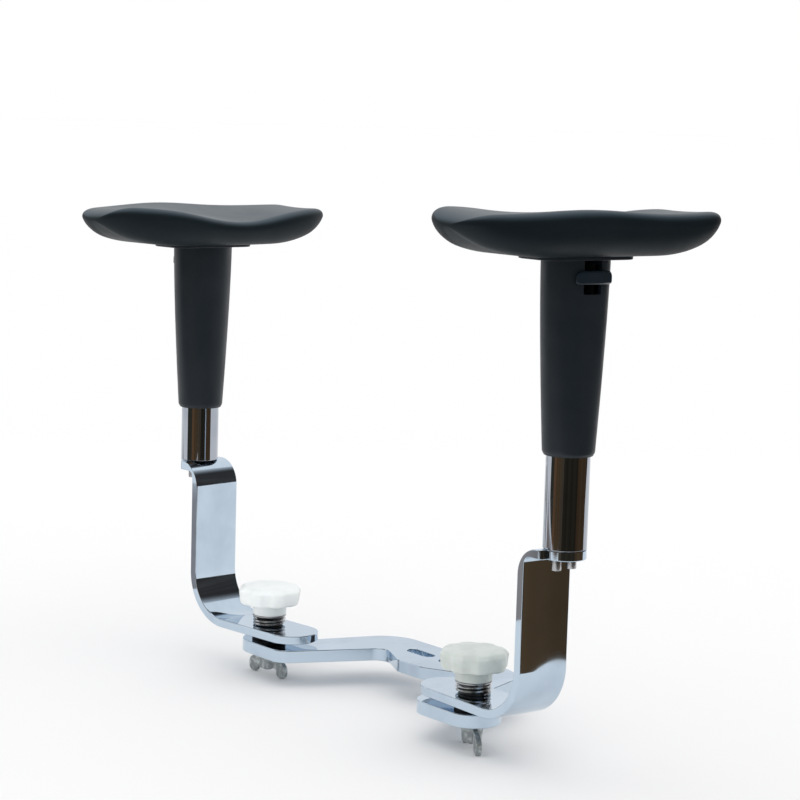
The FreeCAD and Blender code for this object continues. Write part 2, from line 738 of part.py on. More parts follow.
def make_clamp(side):
    """Friction disc, coil bush, clamp washer, knob with its stud, and the wing nut with its washer."""
    disc = make_ring(f"{side}_friction_disc", "disc_dia / 2", "stud_dia / 2 + loose_fit", "disc_high")
    keep(disc.Name, disc, side, lift="link_thick")
    bush_outer = "coil_dia / 2 - coil_wire - coil_bush_gap"
    bush = make_ring(f"{side}_coil_bush", bush_outer, "stud_dia / 2 + loose_fit", "coil_bush_high")
    keep(bush.Name, bush, side, lift="foot_top")
    washer = make_ring(f"{side}_clamp_washer", "hub_dia / 2", "stud_dia / 2 + loose_fit", "washer_thick")
    keep(washer.Name, washer, side, lift=f"{side}_knob_base - washer_thick - loose_fit / 2")
    knob = new_body(f"{side}_knob")
    rim = "knob_dia / 2"
    top = "hub_high + knob_head_high"
    turn_profile(knob, (
        ("0", "hub_high"),
        ("stud_dia / 2", "hub_high"),
        ("stud_dia / 2", "0"),
        ("hub_dia / 2 - hub_edge", "0"),
        ("hub_dia / 2", "hub_edge"),
        ("hub_dia / 2", "hub_high"),
        (f"{rim} - knob_edge", "hub_high + knob_edge / 8"),
        (rim, "hub_high + knob_edge"),
        (rim, f"{top} - knob_edge"),
        (f"{rim} - knob_edge", top),
        (f"{rim} * 0.5", f"{top} + knob_dome * 0.75"),
        ("0", f"{top} + knob_dome"),
    ))
    scallop = new_sketch(knob, "XY_Plane", "hub_high")
    draw_circle(scallop, "knob_dia / 2 - scallop_deep + scallop_dia / 2", "0", "scallop_dia / 2")
    notch = sink_pocket(knob, scallop)
    notch.Reversed = True
    doc.recompute()
    ring = knob.newObject("PartDesign::PolarPattern", "Lobes")
    ring.Originals = [notch]
    ring.Axis = ([item for item in knob.Origin.OriginFeatures if item.Role == "Z_Axis"][0], [""])
    ring.Angle = 360
    bind(ring, Occurrences="lobe_count")
    knob.Tip = ring
    doc.recompute()
    keep(knob.Name, knob, side, lift=f"{side}_knob_base")
    stud = new_body(f"{side}_stud")
    low = f"nut_top - nut_hub_high - stud_tail - {side}_knob_base"
    turn_profile(stud, (
        ("0", low),
        ("stud_dia / 2 - stud_edge", low),
        ("stud_dia / 2", f"{low} + stud_edge"),
        ("stud_dia / 2", "hub_high"),
        ("0", "hub_high"),
    ))
    keep(stud.Name, stud, side, lift=f"{side}_knob_base")
    under = make_ring(f"{side}_wing_washer", "nut_washer_dia / 2", "stud_dia / 2 + loose_fit", "washer_thick")
    keep(under.Name, under, side, lift="-washer_thick - loose_fit")
    nut = new_body(f"{side}_wing_nut")
    turn_profile(nut, (
        ("stud_dia / 2 + run_fit", "0"),
        ("nut_hub_dia / 2", "0"),
        ("nut_tip_dia / 2", "-nut_hub_high"),
        ("stud_dia / 2 + run_fit", "-nut_hub_high"),
    ))
    lobe_x = "nut_span / 2 - wing_lobe_dia / 2"
    lobe_z = "-nut_high + wing_lobe_dia / 2"
    for sign in ("", "-"):
        web = new_sketch(nut, "XZ_Plane")
        draw_polygon(web, (
            (f"{sign}(stud_dia / 2 + wing_root)", "-wing_root"),
            (f"{sign}(nut_hub_dia / 2 + wing_root / 2)", "-wing_root"),
            (f"{sign}({lobe_x} + wing_lobe_dia * 0.4)", f"{lobe_z} + wing_lobe_dia * 0.3"),
            (f"{sign}({lobe_x} - wing_lobe_dia * 0.35)", f"{lobe_z} - wing_lobe_dia * 0.35"),
            (f"{sign}(stud_dia / 2 + wing_root)", "-nut_hub_high + wing_root / 2"),
        ))
        raise_pad(nut, web, "wing_thick", midplane=True)
        lobe = new_sketch(nut, "XZ_Plane")
        draw_circle(lobe, f"{sign}({lobe_x})", lobe_z, "wing_lobe_dia / 2")
        raise_pad(nut, lobe, "wing_thick", midplane=True)
    keep(nut.Name, nut, side, lift="nut_top", turn=f"{side}_nut_turn - {side}_turn")


def bump(place, centre, spread):
    """Smooth hump of height 1 along a line."""
    return math.exp(-((place - centre) / spread) ** 2)


def pad_section(place, facing):
    """Closed outline of the pad at one station along its length, with the outer side on +X.

    Args:
        place: distance from the pad's middle as a share of its half length, -1 at the front.
        facing: 1 where the arm's +Y points to the back, -1 where it points to the front.
    """
    half_long = size("pad_long") / 2
    run = place * half_long
    square = size("pad_squareness")
    share = (1 - abs(place) ** square) ** (1 / square)
    wide = size("pad_wide") / 2 * share
    flat = size("keel_long") / 2
    past = max(0.0, (abs(run) - flat) / (half_long - flat))
    keel = size("keel_rise") * past ** 2
    keel_half = size("keel_wide") / 2 * share * (1 - 0.5 * past ** 1.5)
    end = max(0.0, 1 - (half_long - abs(run)) / size("end_reach")) ** 2
    fall = end * size("front_fall" if place < 0 else "rear_fall")
    outer = size("outer_rim") - fall
    outer += size("crest_rise") * bump(run, -size("crest_forward"), size("crest_spread"))
    inner = size("inner_rim") - fall - size("inner_rear_fall") * max(0.0, place)
    inner -= size("inner_dip") * bump(run, size("dip_back"), size("dip_spread"))
    rim = min(size("rim_round"), wide / 3, (min(outer, inner) - keel) / 3)

    def at(across, high):
        return Vector(across, facing * (run + size("pad_shift")), high)

    def flank(way, high):
        """Points up one side: foot, belly, hip, brow and crest of the rim."""
        return (
            at(way * keel_half, keel),
            at(way * (keel_half + (wide - keel_half) * 0.68), keel + (high - keel - rim) * 0.36),
            at(way * (wide - rim / 4), high - rim * 1.15),
            at(way * (wide - rim / 8), high - rim / 3),
            at(way * (wide - rim), high),
        )

    outside, inside = flank(1, outer), flank(-1, inner)
    dish = at(0, (outer + inner) / 2 - size("seat_dish") * share)
    edges = (
        Part.LineSegment(inside[0], outside[0]),
        Part.Arc(*outside[0:3]),
        Part.Arc(*outside[2:5]),
        Part.Arc(outside[4], dish, inside[4]),
        Part.Arc(*reversed(inside[2:5])),
        Part.Arc(*reversed(inside[0:3])),
    )
    return Part.Wire([edge.toShape() for edge in edges])


def make_rest(side):
    """Base plate, its two countersunk screws into the sleeve, and the moulded pad on it."""
    plate_base = f"{side}_sleeve_base + sleeve_long"
    plate = new_body(f"{side}_base_plate")
    sketch = new_sketch(plate, "XY_Plane")
    draw_polygon(sketch, (
        ("-plate_x / 2", "-plate_y / 2"),
        ("plate_x / 2", "-plate_y / 2"),
        ("plate_x / 2", "plate_y / 2"),
        ("-plate_x / 2", "plate_y / 2"),
    ))
    raise_pad(plate, sketch, "plate_thick")
    round_edges(plate, "plate_corner", is_upright)
    holes = new_sketch(plate, "XY_Plane", "plate_thick")
    for sign in ("", "-"):
        draw_circle(holes, "0", f"{sign}screw_half_gap", "screw_dia / 2 + run_fit")
    drilled = sink_pocket(plate, holes, "plate_thick")
    sinks = plate.newObject("PartDesign::Chamfer", "Countersunk")
    sinks.Base = (drilled, [
        f"Edge{i}" for i, edge in enumerate(drilled.Shape.Edges, 1)
        if edge.Closed and near(middle(edge).z, size("plate_thick"))
    ])
    bind(sinks, Size="(screw_head_dia - screw_dia) / 2")
    doc.recompute()
    keep(plate.Name, plate, side, out="post_out", lift=plate_base)
    for word, sign in ends_of(side):
        screw = new_body(f"{side}_plate_screw_{word}")
        turn_profile(screw, (
            ("0", "plate_thick - run_fit"),
            ("screw_head_dia / 2", "plate_thick - run_fit"),
            ("screw_dia / 2", "plate_thick - run_fit - (screw_head_dia - screw_dia) / 2"),
            ("screw_dia / 2", "-screw_long + screw_dia / 2"),
            ("0", "-screw_long + run_fit"),
        ))
        keep(screw.Name, screw, side, out="post_out", along=f"{sign}screw_half_gap", lift=plate_base)
    facing = 1 if side == "right" else -1
    loft = Part.makeLoft([pad_section(place, facing) for place in PAD_STATIONS], True, False)
    below = Part.makeBox(size("pad_wide"), size("pad_long"), size("plate_thick"),
                         Vector(-size("pad_wide") / 2, -size("pad_long") / 2, -size("plate_thick")))
    pad = doc.addObject("Part::Feature", f"{side}_pad")
    pad.Shape = loft.cut(below)
    keep(pad.Name, pad, side, out="post_out", lift=f"{plate_base} + plate_thick")


make_link_plate()
for arm in ("left", "right"):
    make_clamp(arm)
    make_bracket(arm)
    make_post(arm)
    make_sleeve(arm)
    make_lock(arm)
    make_trigger(arm)
    make_springs(arm)
    make_rest(arm)

doc.recompute()
for thing in doc.Objects:
    if "Invalid" in thing.State or "Error" in thing.State:
        raise RuntimeError(f"{thing.Label} did not build: {thing.State}")
os.makedirs("parts", exist_ok=True)
for name, thing in pieces.items():
    shape = thing.Shape
    if shape.isNull() or not shape.isValid():
        raise RuntimeError(f"{name} has no sound shape")
    shape.exportStep(os.path.join("parts", f"{name}.step"))
    print(f"{name}: volume {shape.Volume / 1000:.2f} cm3")
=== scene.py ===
"""Armrest pair of a microscope chair on its chromed swing brackets.

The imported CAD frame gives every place. Each class rebuilds one sub-assembly as finely edged
meshes over the CAD nodes, dresses it and lets it ride on its body. Lengths are in metres.
"""

import logging
import math
from collections.abc import Callable, Iterable, Sequence
from dataclasses import dataclass, field
from enum import Enum

import bmesh
import bpy
from mathutils import Matrix, Vector
from mathutils.geometry import delaunay_2d_cdt

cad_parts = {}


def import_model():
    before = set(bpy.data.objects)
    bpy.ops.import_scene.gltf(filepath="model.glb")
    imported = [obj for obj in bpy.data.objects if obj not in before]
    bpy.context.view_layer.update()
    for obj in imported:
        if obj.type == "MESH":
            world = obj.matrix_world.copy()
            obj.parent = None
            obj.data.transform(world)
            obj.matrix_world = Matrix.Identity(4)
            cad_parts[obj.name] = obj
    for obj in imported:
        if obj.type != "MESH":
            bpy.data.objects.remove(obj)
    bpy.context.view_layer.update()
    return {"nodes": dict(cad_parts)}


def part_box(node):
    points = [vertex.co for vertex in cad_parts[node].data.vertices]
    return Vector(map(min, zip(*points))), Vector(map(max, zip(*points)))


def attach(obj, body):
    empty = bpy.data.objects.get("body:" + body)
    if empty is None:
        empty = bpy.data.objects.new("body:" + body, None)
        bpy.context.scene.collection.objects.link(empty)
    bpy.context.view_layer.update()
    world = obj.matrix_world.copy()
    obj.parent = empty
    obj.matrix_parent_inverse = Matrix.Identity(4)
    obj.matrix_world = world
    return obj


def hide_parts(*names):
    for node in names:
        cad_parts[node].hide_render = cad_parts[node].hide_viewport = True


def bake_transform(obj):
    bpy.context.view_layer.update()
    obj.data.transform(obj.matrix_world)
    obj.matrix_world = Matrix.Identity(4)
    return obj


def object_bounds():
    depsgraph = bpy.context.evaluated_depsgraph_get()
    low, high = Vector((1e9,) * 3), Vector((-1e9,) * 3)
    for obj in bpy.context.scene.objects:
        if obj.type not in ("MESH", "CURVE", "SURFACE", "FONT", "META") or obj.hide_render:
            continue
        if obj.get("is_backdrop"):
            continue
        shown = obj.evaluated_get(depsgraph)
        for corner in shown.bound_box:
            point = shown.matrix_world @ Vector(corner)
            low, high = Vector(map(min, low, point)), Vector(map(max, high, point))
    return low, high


LOG = logging.getLogger("armrests")
MM = 0.001
HAIR = 0.1 * MM
FINE = math.radians(6)
COARSE = math.radians(20)

Colour = tuple[float, float, float]


class Side(Enum):
    """Arm of the pair, named as in the frame."""

    LEFT = "left"
    RIGHT = "right"

    @property
    def facing(self) -> float:
        """Sign of the arm's own Y axis towards the back of the chair."""
        return 1.0 if self is Side.RIGHT else -1.0


@dataclass(frozen=True)
class Corner:
    """Corner of a flat outline and the radius that rounds it."""

    x: float
    y: float
    radius: float = HAIR


@dataclass(frozen=True)
class Stop:
    """Point of a rounded outline with its normal away from the material."""

    x: float
    y: float
    nx: float
    ny: float


def rounded(corners: Sequence[Corner], closed: bool = True, step: float = FINE) -> list[Stop]:
    """Outline through corners, each rounded by its own radius.

    Args:
        corners: corners in order, anticlockwise round material and clockwise round a hole.
        closed: whether the last corner leads back to the first.
        step: largest turn between two points of an arc.

    Returns:
        The points of the outline, with normals on the right-hand side of the walk.
    """
    stops: list[Stop] = []
    count = len(corners)
    for index, corner in enumerate(corners):
        here = Vector((corner.x, corner.y))
        before = corners[index - 1]
        after = corners[(index + 1) % count]
        arrive = (here - Vector((before.x, before.y))).normalized()
        leave = (Vector((after.x, after.y)) - here).normalized()
        if not closed and index == 0:
            arrive = leave
        if not closed and index == count - 1:
            leave = arrive
        turn = math.atan2(arrive.x * leave.y - arrive.y * leave.x, arrive.dot(leave))
        side = Vector((arrive.y, -arrive.x))
        if abs(turn) < 1e-5:
            stops.append(Stop(here.x, here.y, side.x, side.y))
            continue
        bulge = math.copysign(corner.radius, turn)
        start = here - arrive * (corner.radius * math.tan(abs(turn) / 2))
        centre = start - side * bulge
        steps = max(2, math.ceil(abs(turn) / step))
        for part in range(steps + 1):
            angle = turn * part / steps
            normal = Vector((
                side.x * math.cos(angle) - side.y * math.sin(angle),
                side.x * math.sin(angle) + side.y * math.cos(angle),
            ))
            spot = centre + normal * bulge
            stops.append(Stop(spot.x, spot.y, normal.x, normal.y))
    return stops


def oblong(x: tuple[float, float], y: tuple[float, float], radius: float,
           step: float = FINE) -> list[Stop]:
    """Rectangle with rounded corners, anticlockwise.

    Args:
        x: its least and greatest x.
        y: its least and greatest y.
        radius: radius of its corners.
        step: largest turn between two points of an arc.

    Returns:
        The points of the outline.
    """
    corners = ((x[0], y[0]), (x[1], y[0]), (x[1], y[1]), (x[0], y[1]))
    return rounded([Corner(*corner, radius) for corner in corners], step=step)


def ring_hole(x: float, y: float, radius: float, sides: int = 48) -> list[Stop]:
    """Round hole in a plate, walked clockwise.

    Args:
        x: centre along the plate.
        y: centre across the plate.
        radius: radius of the hole.
        sides: number of points.

    Returns:
        The points of the hole, with normals into it.
    """
    angles = [-2 * math.pi * part / sides for part in range(sides)]
    return [
        Stop(x + radius * math.cos(a), y + radius * math.sin(a), -math.cos(a), -math.sin(a)) for a in angles
    ]


def inside(x: float, y: float, loop: Sequence[tuple[float, float]]) -> bool:
    """Whether a point lies inside a closed loop.

    Args:
        x: first coordinate.
        y: second coordinate.
        loop: corners of the loop.

    Returns:
        True for a point inside.
    """
    found = False
    for (ax, ay), (bx, by) in zip(loop, [*loop[1:], loop[0]]):
        if (ay > y) != (by > y) and x < (bx - ax) * (y - ay) / (by - ay) + ax:
            found = not found
    return found


def ties_at(rows: Sequence[float], outline: Sequence[Stop]) -> list[tuple[int, int]]:
    """Pairs of outline points that face each other across a plate.

    Args:
        rows: places along the plate, each with a point on both long edges.
        outline: outline of the plate.

    Returns:
        Indices of the two points of each row.
    """
    ties = []
    for row in rows:
        pair = [i for i, s in enumerate(outline) if abs(s.x - row) < HAIR / 10 and abs(s.nx) < 0.01]
        ties.append((pair[0], pair[-1]))
    return ties


def arc_through(first: Vector, middle: Vector, last: Vector, count: int) -> list[Vector]:
    """Points on the circular arc through three points, the last one left off.

    Args:
        first: start of the arc.
        middle: point on the way.
        last: end of the arc.
        count: number of points.

    Returns:
        Evenly spaced points from first on.
    """
    ab, ac = middle - first, last - first
    cross = 2 * (ab.x * ac.y - ab.y * ac.x)
    if abs(cross) < 1e-12:
        return [first.lerp(last, part / count) for part in range(count)]
    centre = first + Vector((
        (ac.y * ab.length_squared - ab.y * ac.length_squared) / cross,
        (ab.x * ac.length_squared - ac.x * ab.length_squared) / cross,
    ))
    start = first - centre
    end = last - centre
    sweep = math.atan2(start.x * end.y - start.y * end.x, start.dot(end))
    if cross > 0 > sweep:
        sweep += 2 * math.pi
    if cross < 0 < sweep:
        sweep -= 2 * math.pi
    return [centre + Matrix.Rotation(sweep * part / count, 2) @ start for part in range(count)]


def placed(name: str, data: bpy.types.ID) -> bpy.types.Object:
    """Puts a new object in the scene.

    Args:
        name: its name.
        data: its mesh, camera or lamp.

    Returns:
        The object.
    """
    thing = bpy.data.objects.new(name, data)
    bpy.context.scene.collection.objects.link(thing)
    return thing


class Shell:
    """Mesh in the making: points with their normals, and faces."""

    def __init__(self) -> None:
        """Starts empty."""
        self.points: list[Vector] = []
        self.normals: list[Vector] = []
        self.faces: list[tuple[int, ...]] = []

    def ring(self, points: Iterable[Vector], normals: Iterable[Vector] | None = None) -> list[int]:
        """Adds a row of points.

        Args:
            points: places of the points.
            normals: their normals, left out where Blender's own smooth shading serves.

        Returns:
            Indices of the new points.
        """
        first = len(self.points)
        self.points.extend(points)
        if normals is not None:
            self.normals.extend(normals)
        return list(range(first, len(self.points)))

    def bridge(self, low: Sequence[int], high: Sequence[int]) -> None:
        """Joins two rings of equal length by faces.

        Args:
            low: indices of the first ring.
            high: indices of the second ring.
        """
        for index in range(len(low)):
            after = (index + 1) % len(low)
            face = tuple(dict.fromkeys((low[index], low[after], high[after], high[index])))
            if len(face) > 2:
                self.faces.append(face)

    def stack(self, rings: Sequence[Sequence[int]]) -> None:
        """Joins rings one after another."""
        for low, high in zip(rings, rings[1:]):
            self.bridge(low, high)

    def tube(self, rings: Sequence[Sequence[int]]) -> "Shell":
        """Joins rings one after another and caps both ends.

        Args:
            rings: indices of each ring's points.

        Returns:
            This shell.
        """
        self.stack(rings)
        self.faces.append(tuple(rings[-1]))
        self.faces.append(tuple(reversed(rings[0])))
        return self

    def spin(self, stops: Sequence[Stop], sides: int = 96) -> "Shell":
        """Turns a closed profile about the Z axis.

        Args:
            stops: profile with the radius as x and the height as y.
            sides: points round the axis.

        Returns:
            This shell.
        """
        angles = [2 * math.pi * part / sides for part in range(sides)]
        self.stack([
            self.ring(
                [Vector((stop.x * math.cos(a), stop.x * math.sin(a), stop.y)) for a in angles],
                [Vector((stop.nx * math.cos(a), stop.nx * math.sin(a), stop.ny)) for a in angles],
            )
            for stop in [*stops, stops[0]]
        ])
        return self

    def slab(self, loops: Sequence[Sequence[Stop]], thick: float, edge: float,
             ties: Sequence[tuple[int, int]] = ()) -> "Shell":
        """Flat plate with rounded rims.

        Args:
            loops: outline first, then the holes.
            thick: height of the plate above Z 0.
            edge: radius of the rims.
            ties: pairs of outline points that the flat faces join, where the plate is bent later.

        Returns:
            This shell.
        """
        steps = 4
        quarter = [math.pi / 2 * part / steps for part in range(steps + 1)]
        rims = [
            (edge * (1 - math.sin(a)), edge * (1 - math.cos(a)), math.sin(a), -math.cos(a)) for a in quarter
        ]
        rims += [(inset, thick - high, out, -up) for inset, high, out, up in reversed(rims)]
        floors, roofs = [], []
        for loop in loops:
            rings = [
                self.ring(
                    [Vector((s.x - s.nx * inset, s.y - s.ny * inset, high)) for s in loop],
                    [Vector((s.nx * out, s.ny * out, up)) for s in loop],
                )
                for inset, high, out, up in rims
            ]
            self.stack(rings)
            floors.append(rings[0])
            roofs.append(rings[-1])
        self.fill(roofs, ties)
        self.fill(floors, ties, flipped=True)
        return self

    def fill(self, rings: Sequence[Sequence[int]], ties: Sequence[tuple[int, int]] = (),
             flipped: bool = False) -> None:
        """Closes a flat face between its outline and its holes.

        Args:
            rings: outline first, then the holes.
            ties: pairs of outline points to join.
            flipped: whether the face looks down.
        """
        flat = [index for ring in rings for index in ring]
        spots = [self.points[index].xy / MM for index in flat]
        edges, first = [], 0
        for ring in rings:
            count = len(ring)
            edges += [(first + part, first + (part + 1) % count) for part in range(count)]
            first += count
        result = delaunay_2d_cdt(spots, edges + list(ties), [], 0, 1e-6)
        places, triangles, origins = result[0], result[2], result[3]
        loops = [[tuple(self.points[index].xy / MM) for index in ring] for ring in rings]
        for triangle in triangles:
            middle = sum((places[corner] for corner in triangle), Vector((0, 0))) / len(triangle)
            if not inside(*middle, loops[0]) or any(inside(*middle, hole) for hole in loops[1:]):
                continue
            face = [flat[origins[corner][0]] for corner in triangle]
            a, b, c = (self.points[index] for index in face[:3])
            upward = (b - a).xy.cross((c - a).xy) > 0
            self.faces.append(tuple(face if upward != flipped else reversed(face)))

    def bend(self, warp: Callable[[Vector], Vector], swing: Callable[[Vector, Vector], Vector]) -> "Shell":
        """Moves every point and turns its normal.

        Args:
            warp: new place of a point.
            swing: new normal from the old place and normal.

        Returns:
            This shell.
        """
        self.normals = [swing(point, normal) for point, normal in zip(self.points, self.normals)]
        self.points = [warp(point) for point in self.points]
        return self

    def turned(self, matrix: Matrix) -> "Shell":
        """Carries the shell along by a rigid move."""
        spin = matrix.to_3x3()
        return self.bend(lambda point: matrix @ point, lambda point, normal: spin @ normal)

    def join(self, other: "Shell") -> "Shell":
        """Takes in another shell.

        Args:
            other: the shell to add.

        Returns:
            This shell.
        """
        first = len(self.points)
        self.points += other.points
        self.normals += other.normals
        self.faces += [tuple(first + index for index in face) for face in other.faces]
        return self

    def piece(self, name: str, seat: Matrix | None = None) -> bpy.types.Object:
        """Makes the object.

        Args:
            name: name of the piece.
            seat: where the shell's own axes lie in the frame.

        Returns:
            The new object, with its place in its mesh.
        """
        mesh = bpy.data.meshes.new(name)
        mesh.from_pydata(self.points, [], self.faces)
        mesh.update()
        mesh.shade_smooth()
        if self.normals:
            mesh.normals_split_custom_set_from_vertices([normal.normalized() for normal in self.normals])
        if seat is not None:
            mesh.transform(seat)
        return placed(name, mesh)


def frozen(thing: bpy.types.Object) -> None:
    """Applies the modifiers of a piece.

    Args:
        thing: piece with modifiers, which keeps the result as its mesh.
    """
    mesh = bpy.data.meshes.new_from_object(thing.evaluated_get(bpy.context.evaluated_depsgraph_get()))
    thing.modifiers.clear()
    thing.data = mesh


class Value:
    """Socket in an expression: arithmetic on it adds Math nodes."""

    def __init__(self, graph: "Graph", socket: bpy.types.NodeSocket) -> None:
        """Wraps an output socket of a graph."""
        self.graph = graph
        self.socket = socket

    def __add__(self, other: "Value | float") -> "Value":
        """Sum of two values."""
        return self.graph.maths("ADD", self, other)

    __radd__ = __add__

    def __mul__(self, other: "Value | float") -> "Value":
        """Product of two values."""
        return self.graph.maths("MULTIPLY", self, other)

    __rmul__ = __mul__

    def __sub__(self, other: "Value | float") -> "Value":
        """Difference of two values."""
        return self.graph.maths("SUBTRACT", self, other)

    def __rsub__(self, other: float) -> "Value":
        """Difference from a number."""
        return self.graph.maths("SUBTRACT", other, self)


class Graph:
    """Node tree of one material or of the world."""

    def __init__(self, tree: bpy.types.NodeTree) -> None:
        """Clears a tree and keeps it."""
        self.tree = tree
        tree.nodes.clear()

    def node(self, kind: str, settings: dict[str, object] | None = None,
             sockets: dict[str, object] | None = None) -> bpy.types.Node:
        """Adds one node.

        Args:
            kind: type name of the node.
            settings: properties of the node.
            sockets: values or links of its inputs, by identifier or name.

        Returns:
            The new node.
        """
        node = self.tree.nodes.new(kind)
        for name, value in (settings or {}).items():
            setattr(node, name, value)
        for name, value in (sockets or {}).items():
            found = [s for s in node.inputs if name in (s.identifier, s.name)]
            socket = next((s for s in found if s.identifier == name), found[0])
            source = value.socket if isinstance(value, Value) else value
            if isinstance(source, bpy.types.NodeSocket):
                self.tree.links.new(source, socket)
            else:
                socket.default_value = source
        return node

    def maths(self, operation: str, first: Value | float, second: Value | float) -> Value:
        """One Math node.

        Args:
            operation: name of the operation.
            first: first operand.
            second: second operand.

        Returns:
            Its result.
        """
        node = self.node("ShaderNodeMath", {"operation": operation}, {"Value": first, "Value_001": second})
        return Value(self, node.outputs[0])

    def place(self, stretch: Colour = (1.0, 1.0, 1.0)) -> bpy.types.NodeSocket:
        """Place on the object in metres.

        Args:
            stretch: scale along each axis.

        Returns:
            The scaled place.
        """
        spot = self.node("ShaderNodeTexCoord").outputs["Object"]
        sockets = {"Vector": spot, "Scale": stretch}
        return self.node("ShaderNodeMapping", None, sockets).outputs["Vector"]

    def noise(self, size: float, detail: float, stretch: Colour = (1.0, 1.0, 1.0)) -> Value:
        """Cloudy pattern from 0 to 1.

        Args:
            size: rough size of one cloud.
            detail: finer octaves in it.
            stretch: scale along each axis, small where the clouds are long.

        Returns:
            The pattern.
        """
        sockets = {"Vector": self.place(stretch), "Scale": 1 / size, "Detail": detail, "Roughness": 0.55}
        return Value(self, self.node("ShaderNodeTexNoise", None, sockets).outputs["Fac"])

    def height(self) -> Value:
        """Height on the object in metres."""
        parts = self.node("ShaderNodeSeparateXYZ", None, {"Vector": self.place()})
        return Value(self, parts.outputs["Z"])

    def upward(self) -> Value:
        """How far a face looks up, 1 for a level one."""
        normal = self.node("ShaderNodeNewGeometry").outputs["Normal"]
        return Value(self, self.node("ShaderNodeSeparateXYZ", None, {"Vector": normal}).outputs["Z"])

    def cells(self, size: float) -> Value:
        """Distance to the edges of a pebble grain, in shares of a pebble.

        Args:
            size: size of one pebble.

        Returns:
            The pattern.
        """
        settings = {"feature": "DISTANCE_TO_EDGE"}
        sockets = {"Vector": self.place(), "Scale": 1 / size}
        return Value(self, self.node("ShaderNodeTexVoronoi", settings, sockets).outputs["Distance"])

    def band(self, value: Value, low: float, high: float, bottom: float = 0.0, top: float = 1.0) -> Value:
        """Smooth step of a value between two limits.

        Args:
            value: value to step.
            low: where the step starts.
            high: where it ends.
            bottom: result below low.
            top: result above high.

        Returns:
            The stepped value.
        """
        settings = {"interpolation_type": "SMOOTHSTEP"}
        sockets = {"Value": value, "From Min": low, "From Max": high, "To Min": bottom, "To Max": top}
        return Value(self, self.node("ShaderNodeMapRange", settings, sockets).outputs["Result"])

    def tint(self, share: Value, low: Colour | bpy.types.NodeSocket, high: Colour) -> bpy.types.NodeSocket:
        """Colour between two colours.

        Args:
            share: 0 for the first, 1 for the second.
            low: first colour, or the socket that gives it.
            high: second colour.

        Returns:
            The mixed colour.
        """
        first = low if isinstance(low, bpy.types.NodeSocket) else (*low, 1.0)
        sockets = {"Factor_Float": share, "A_Color": first, "B_Color": (*high, 1.0)}
        return self.node("ShaderNodeMix", {"data_type": "RGBA"}, sockets).outputs[2]

    def bump(self, height: Value, depth: float, strength: float) -> bpy.types.NodeSocket:
        """Normal from a height pattern.

        Args:
            height: pattern from 0 to 1.
            depth: its real depth.
            strength: how much of it shows.

        Returns:
            The normal.
        """
        sockets = {"Height": height, "Distance": depth, "Strength": strength}
        return self.node("ShaderNodeBump", None, sockets).outputs["Normal"]

    def surface(self, **sockets: object) -> None:
        """Principled shader on the output.

        Args:
            sockets: its inputs, by names with underscores.
        """
        named = {name.replace("_", " "): value for name, value in sockets.items()}
        shader = self.node("ShaderNodeBsdfPrincipled", None, named)
        self.node("ShaderNodeOutputMaterial", None, {"Surface": shader.outputs["BSDF"]})


def blank(name: str) -> tuple[bpy.types.Material, Graph]:
    """New material with an empty tree.

    Args:
        name: its name.

    Returns:
        The material and its tree.
    """
    made = bpy.data.materials.new(name)
    made.use_nodes = True
    return made, Graph(made.node_tree)


@dataclass(frozen=True)
class Finish:
    """Look of a material slot of the record."""

    slot: str

    def paint(self, graph: Graph) -> None:
        """Fills the material's tree."""
        raise NotImplementedError

    def material(self) -> bpy.types.Material:
        """The finish's material, made on first use.

        Returns:
            The material.
        """
        name = f"{self.slot}_{type(self).__name__.lower()}"
        found = bpy.data.materials.get(name)
        if found is not None:
            return found
        made, graph = blank(name)
        self.paint(graph)
        return made


@dataclass(frozen=True)
class Chrome(Finish):
    """Polished chrome plate with faint haze and a trace of ripple."""

    slot: str = "chrome"
    bright: Colour = (0.53, 0.63, 0.73)
    dull: Colour = (0.46, 0.55, 0.65)
    sheen: float = 0.035
    haze: float = 0.09

    def paint(self, graph: Graph) -> None:
        """Mirror with clouds of handling haze.

        Args:
            graph: the material's tree.
        """
        cloud = graph.band(graph.noise(0.05, 4.0), 0.45, 0.75)
        hair = graph.noise(0.002, 2.0, (1.0, 1.0, 0.06))
        ripple = graph.noise(0.03, 1.0)
        graph.surface(
            Base_Color=graph.tint(cloud, self.bright, self.dull),
            Metallic=1.0,
            Roughness=cloud * self.haze * hair + self.sheen,
            Normal=graph.bump(ripple, 0.03 * MM, 0.6),
        )


@dataclass(frozen=True)
class TubeChrome(Chrome):
    """Chrome of the tube, with a darker and greyer base colour than the plates' chrome."""

    bright: Colour = (0.40, 0.43, 0.48)
    dull: Colour = (0.35, 0.38, 0.43)


@dataclass(frozen=True)
class MouldedPlastic(Finish):
    """Satin dark moulding with a fine spark-eroded grain."""

    slot: str = "dark_plastic"
    deep: Colour = (0.0062, 0.0120, 0.0175)
    worn: Colour = (0.0108, 0.0180, 0.0255)
    grain: float = 0.45 * MM
    rough: tuple[float, float] = (0.34, 0.44)

    def paint(self, graph: Graph) -> None:
        """Grain, cloudy gloss and a slightly paler bloom.

        Args:
            graph: the material's tree.
        """
        grain = graph.noise(self.grain, 2.0)
        cloud = graph.noise(0.03, 3.0)
        graph.surface(
            Base_Color=graph.tint(cloud, self.deep, self.worn),
            Roughness=graph.band(cloud, 0.3, 0.7, *self.rough) + grain * 0.06,
            Normal=graph.bump(grain, 0.05 * MM, 0.35),
            Specular_IOR_Level=0.34,
        )


@dataclass(frozen=True)
class PolishedPlastic(MouldedPlastic):
    """The same moulding where fingers keep it glossy."""

    rough: tuple[float, float] = (0.12, 0.18)


